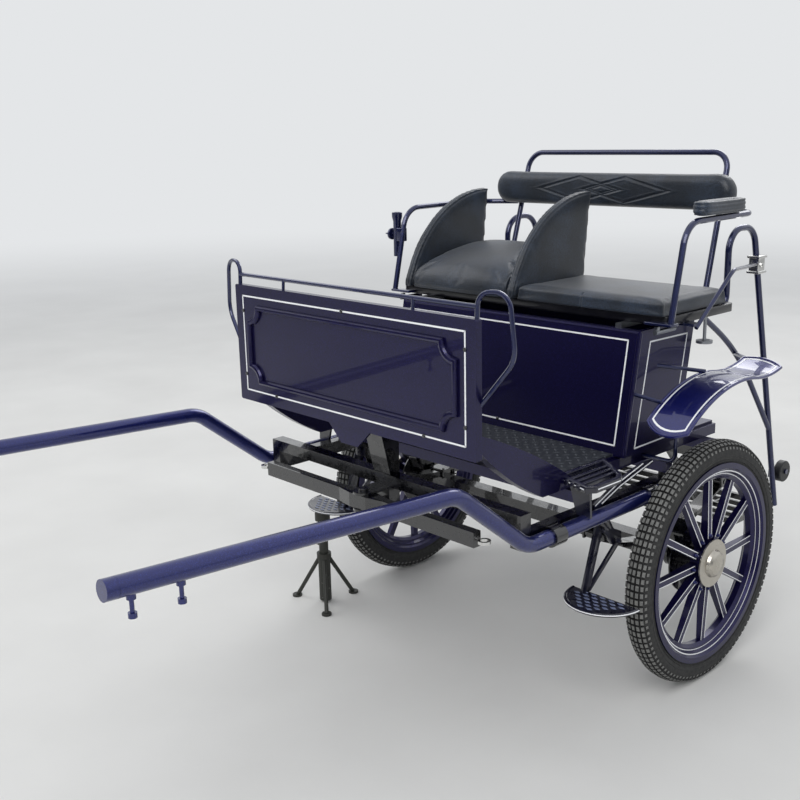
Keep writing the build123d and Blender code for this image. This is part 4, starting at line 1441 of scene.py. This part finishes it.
    def sew(self, pad: bpy.types.Object, node: str) -> None:
        """Presses the seams into a filled pad: welts along its cut edges, a front seam and the roll's diamonds.

        Args:
            pad: The filled and subdivided pad.
            node: The CAD node that it stands for.
        """
        if node == "backrest_roll":
            self.diamonds(pad)
            return
        count = len(pad.data.vertices)
        gap, normals = np.empty(count, np.float32), np.empty(count * 3, np.float32)
        pad.data.attributes["seam_gap"].data.foreach_get("value", gap)
        pad.data.vertices.foreach_get("normal", normals)
        normals = normals.reshape(-1, 3).astype(float)
        co = self.points(pad)
        push = 1.1 * np.exp(-(gap / 3.0) ** 2) - 1.8 * np.exp(-((gap - 7.5) / 2.6) ** 2)
        if node == "passenger_cushion":
            across = (co[:, 0] - MIDDLE.x) / MM - self.seam_x
            push -= np.where(normals[:, 1] < -0.4, 5.0 * np.exp(-(across / 2.6) ** 2), 0)
        co += normals * push[:, None] * MM
        self.put(pad, co)

    def fill(self, pads: dict[str, bpy.types.Object], caps: dict[str, float]) -> None:
        """Swells all the skins at once with a pressure cloth, and caps how far a point moves.

        Args:
            pads: CAD node to its skin.
            caps: CAD node to the farthest that a point may move, in millimetres.
        """
        before = {node: self.points(pad) for node, pad in pads.items()}
        for node, pad in pads.items():
            low = before[node][:, 2].min()
            held = pad.vertex_groups.new(name="held")
            held.add([i for i, z in enumerate(before[node][:, 2]) if z < low + 4 * MM], 1.0, "REPLACE")
            cloth = pad.modifiers.new("Cloth", "CLOTH")
            cloth.settings.quality = 5
            cloth.settings.use_pressure = True
            cloth.settings.uniform_pressure_force = self.pressure
            cloth.settings.vertex_group_mass = "held"
            cloth.settings.effector_weights.gravity = 0
        scene = bpy.context.scene
        scene.frame_start, scene.frame_end = 1, self.frames
        for step in range(1, self.frames + 1):
            scene.frame_set(step)
        for node, pad in pads.items():
            alone(pad)
            bpy.ops.object.modifier_apply(modifier="Cloth")
            moved = self.points(pad) - before[node]
            far = np.linalg.norm(moved, axis=1, keepdims=True)
            cap = caps[node] * MM
            eased = moved * (cap * np.tanh(far / cap) / np.maximum(far, 1e-9))
            self.put(pad, before[node] + eased)
            pad.vertex_groups.clear()
            modify(pad, "SMOOTH", factor=0.5, iterations=self.ironed)
        scene.frame_set(1)

    @staticmethod
    def points(piece: bpy.types.Object) -> np.ndarray:
        """A piece's vertices as an array of rows."""
        flat = np.empty(len(piece.data.vertices) * 3, np.float32)
        piece.data.vertices.foreach_get("co", flat)
        return flat.reshape(-1, 3).astype(float)

    @staticmethod
    def put(piece: bpy.types.Object, co: np.ndarray) -> None:
        """Puts a piece's vertices at an array's rows."""
        piece.data.vertices.foreach_set("co", co.astype(np.float32).ravel())
        piece.data.update()

    def diamonds(self, roll: bpy.types.Object) -> None:
        """Presses the stitched diamonds into the front of the back roll: two that overlap and a small one."""
        modify(roll, "SUBSURF", levels=1, render_levels=1)
        co = self.points(roll)
        across, up = (co[:, 0] - MIDDLE.x) / MM, co[:, 2] / MM - self.roll_height
        nearest = np.full(len(co), 1e3)
        for centre, wide, tall in ((-90, 160, 40), (90, 160, 40), (0, 44, 12)):
            off = np.abs(np.abs(across - centre) / wide + np.abs(up) / tall - 1) / math.hypot(1 / wide, 1 / tall)
            nearest = np.minimum(nearest, off)
        front = co[:, 1] < MIDDLE.y + 321 * MM
        press = 3.4 * np.exp(-(nearest / 3.0) ** 2) - 0.9 * np.exp(-((nearest - 7.0) / 3.0) ** 2)
        co[:, 1] += np.where(front, press * MM, 0)
        self.put(roll, co)


@dataclass
class Studio:
    """Floor, backdrop, lamps and camera."""

    lens: float = 47.89
    eye: tuple[float, float, float] = (2132.3, -2610.6, 1593.7)
    right: tuple[float, float, float] = (0.68484, 0.72836, -0.02208)
    up: tuple[float, float, float] = (-0.16349, 0.18311, 0.96940)
    ahead: tuple[float, float, float] = (-0.71012, 0.66027, -0.24448)

    def build(self) -> None:
        """Sets up the whole studio."""
        self.floor()
        self.lamps()
        self.world()
        self.camera()

    def floor(self) -> None:
        """A floor that fades into the pale backdrop far behind the gig, as the eye sees it."""
        floor = start("plane", "studio_floor", size=400)
        screed = SCREED.material()
        tree = screed.node_tree
        away = add_node(tree, "VectorMath", {0: add_node(tree, "TexCoord").outputs["Object"]}, operation="LENGTH")
        far = remap(tree, away.outputs["Value"], (3.0, 16.0), interpolation_type="SMOOTHSTEP")
        seen = reckon(tree, "MULTIPLY", far, add_node(tree, "LightPath").outputs["Is Camera Ray"])
        glow = add_node(tree, "Emission", {"Color": linear(BACKDROP), "Strength": 1.0})
        both = add_node(tree, "MixShader", {0: seen, 1: tree.nodes["Principled BSDF"].outputs[0], 2: glow.outputs[0]})
        tree.links.new(both.outputs[0], tree.nodes["Material Output"].inputs["Surface"])
        floor.data.materials.append(screed)

    def lamps(self) -> None:
        """Three large soft lamps: a key, a fill and one behind."""
        for name, place, size, power in (("key_lamp", (3.5, -4.5, 5.5), 5.0, 240.0),
                                         ("fill_lamp", (-5.0, -2.0, 4.5), 5.0, 90.0),
                                         ("rear_lamp", (-1.5, 5.5, 5.0), 4.0, 110.0)):
            data = bpy.data.lights.new(name, "AREA")
            data.shape, data.size, data.energy = "DISK", size, power
            lamp = bpy.data.objects.new(name, data)
            bpy.context.scene.collection.objects.link(lamp)
            aim = (Vector((0, 0.3, 0.7)) - Vector(place)).to_track_quat("-Z", "Y")
            lamp.matrix_world = Matrix.Translation(place) @ aim.to_matrix().to_4x4()

    def world(self) -> None:
        """A pale backdrop, and what gloss sees: dark drapes in front at eye level, a bright ceiling above."""
        world = bpy.data.worlds.new("studio_world")
        bpy.context.scene.world = world
        world.use_nodes = True
        tree = world.node_tree
        axes = add_node(tree, "SeparateXYZ", {0: add_node(tree, "TexCoord").outputs["Generated"]}).outputs
        behind, above = remap(tree, axes[1], (-0.3, 0.5)), remap(tree, axes[2], (0.12, 0.65))
        wall = add_node(tree, "Mix", {0: behind, 6: linear("#2a2e38"), 7: linear(BACKDROP)},
                        data_type="RGBA").outputs[2]
        room = add_node(tree, "Mix", {0: above, 6: wall, 7: linear("#f6f8fc")}, data_type="RGBA").outputs[2]
        light = add_node(tree, "LightPath").outputs
        ambient = add_node(tree, "Mix", {0: light["Is Glossy Ray"], 6: linear("#c3c6ca"), 7: room},
                           data_type="RGBA").outputs[2]
        seen = add_node(tree, "Mix", {0: light["Is Camera Ray"], 6: ambient, 7: linear(BACKDROP)},
                        data_type="RGBA").outputs[2]
        tree.links.new(seen, tree.nodes["Background"].inputs["Color"])
        tree.nodes["Background"].inputs["Strength"].default_value = 1.0

    def camera(self) -> None:
        """The photograph's camera."""
        data = bpy.data.cameras.new("camera")
        data.lens, data.sensor_width, data.clip_end = self.lens, 36.0, 200.0
        camera = bpy.data.objects.new("camera", data)
        bpy.context.scene.collection.objects.link(camera)
        axes = Matrix((self.right, self.up, [-c for c in self.ahead])).transposed().to_4x4()
        camera.matrix_world = Matrix.Translation(at(*self.eye)) @ axes
        bpy.context.scene.camera = camera
        bpy.context.scene.view_settings.view_transform = "Standard"


def dress_nodes() -> None:
    """Gives every CAD node its finish."""
    for finish, nodes in NODE_FINISHES.items():
        for name in nodes:
            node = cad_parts[name]
            node.data.materials.clear()
            node.data.materials.append(finish.material())


def main() -> None:
    """Builds every sub-assembly in order."""
    logging.basicConfig(level=logging.INFO)
    dress_nodes()
    for side in Side:
        Wheel(side).build()
    PaintedLines().build()
    Mudguards().build()
    UpperStep().build()
    LowerStep().build()
    SeatFrame().build()
    Upholstery().build()
    Studio().build()


if __name__ == "__main__":
    main()
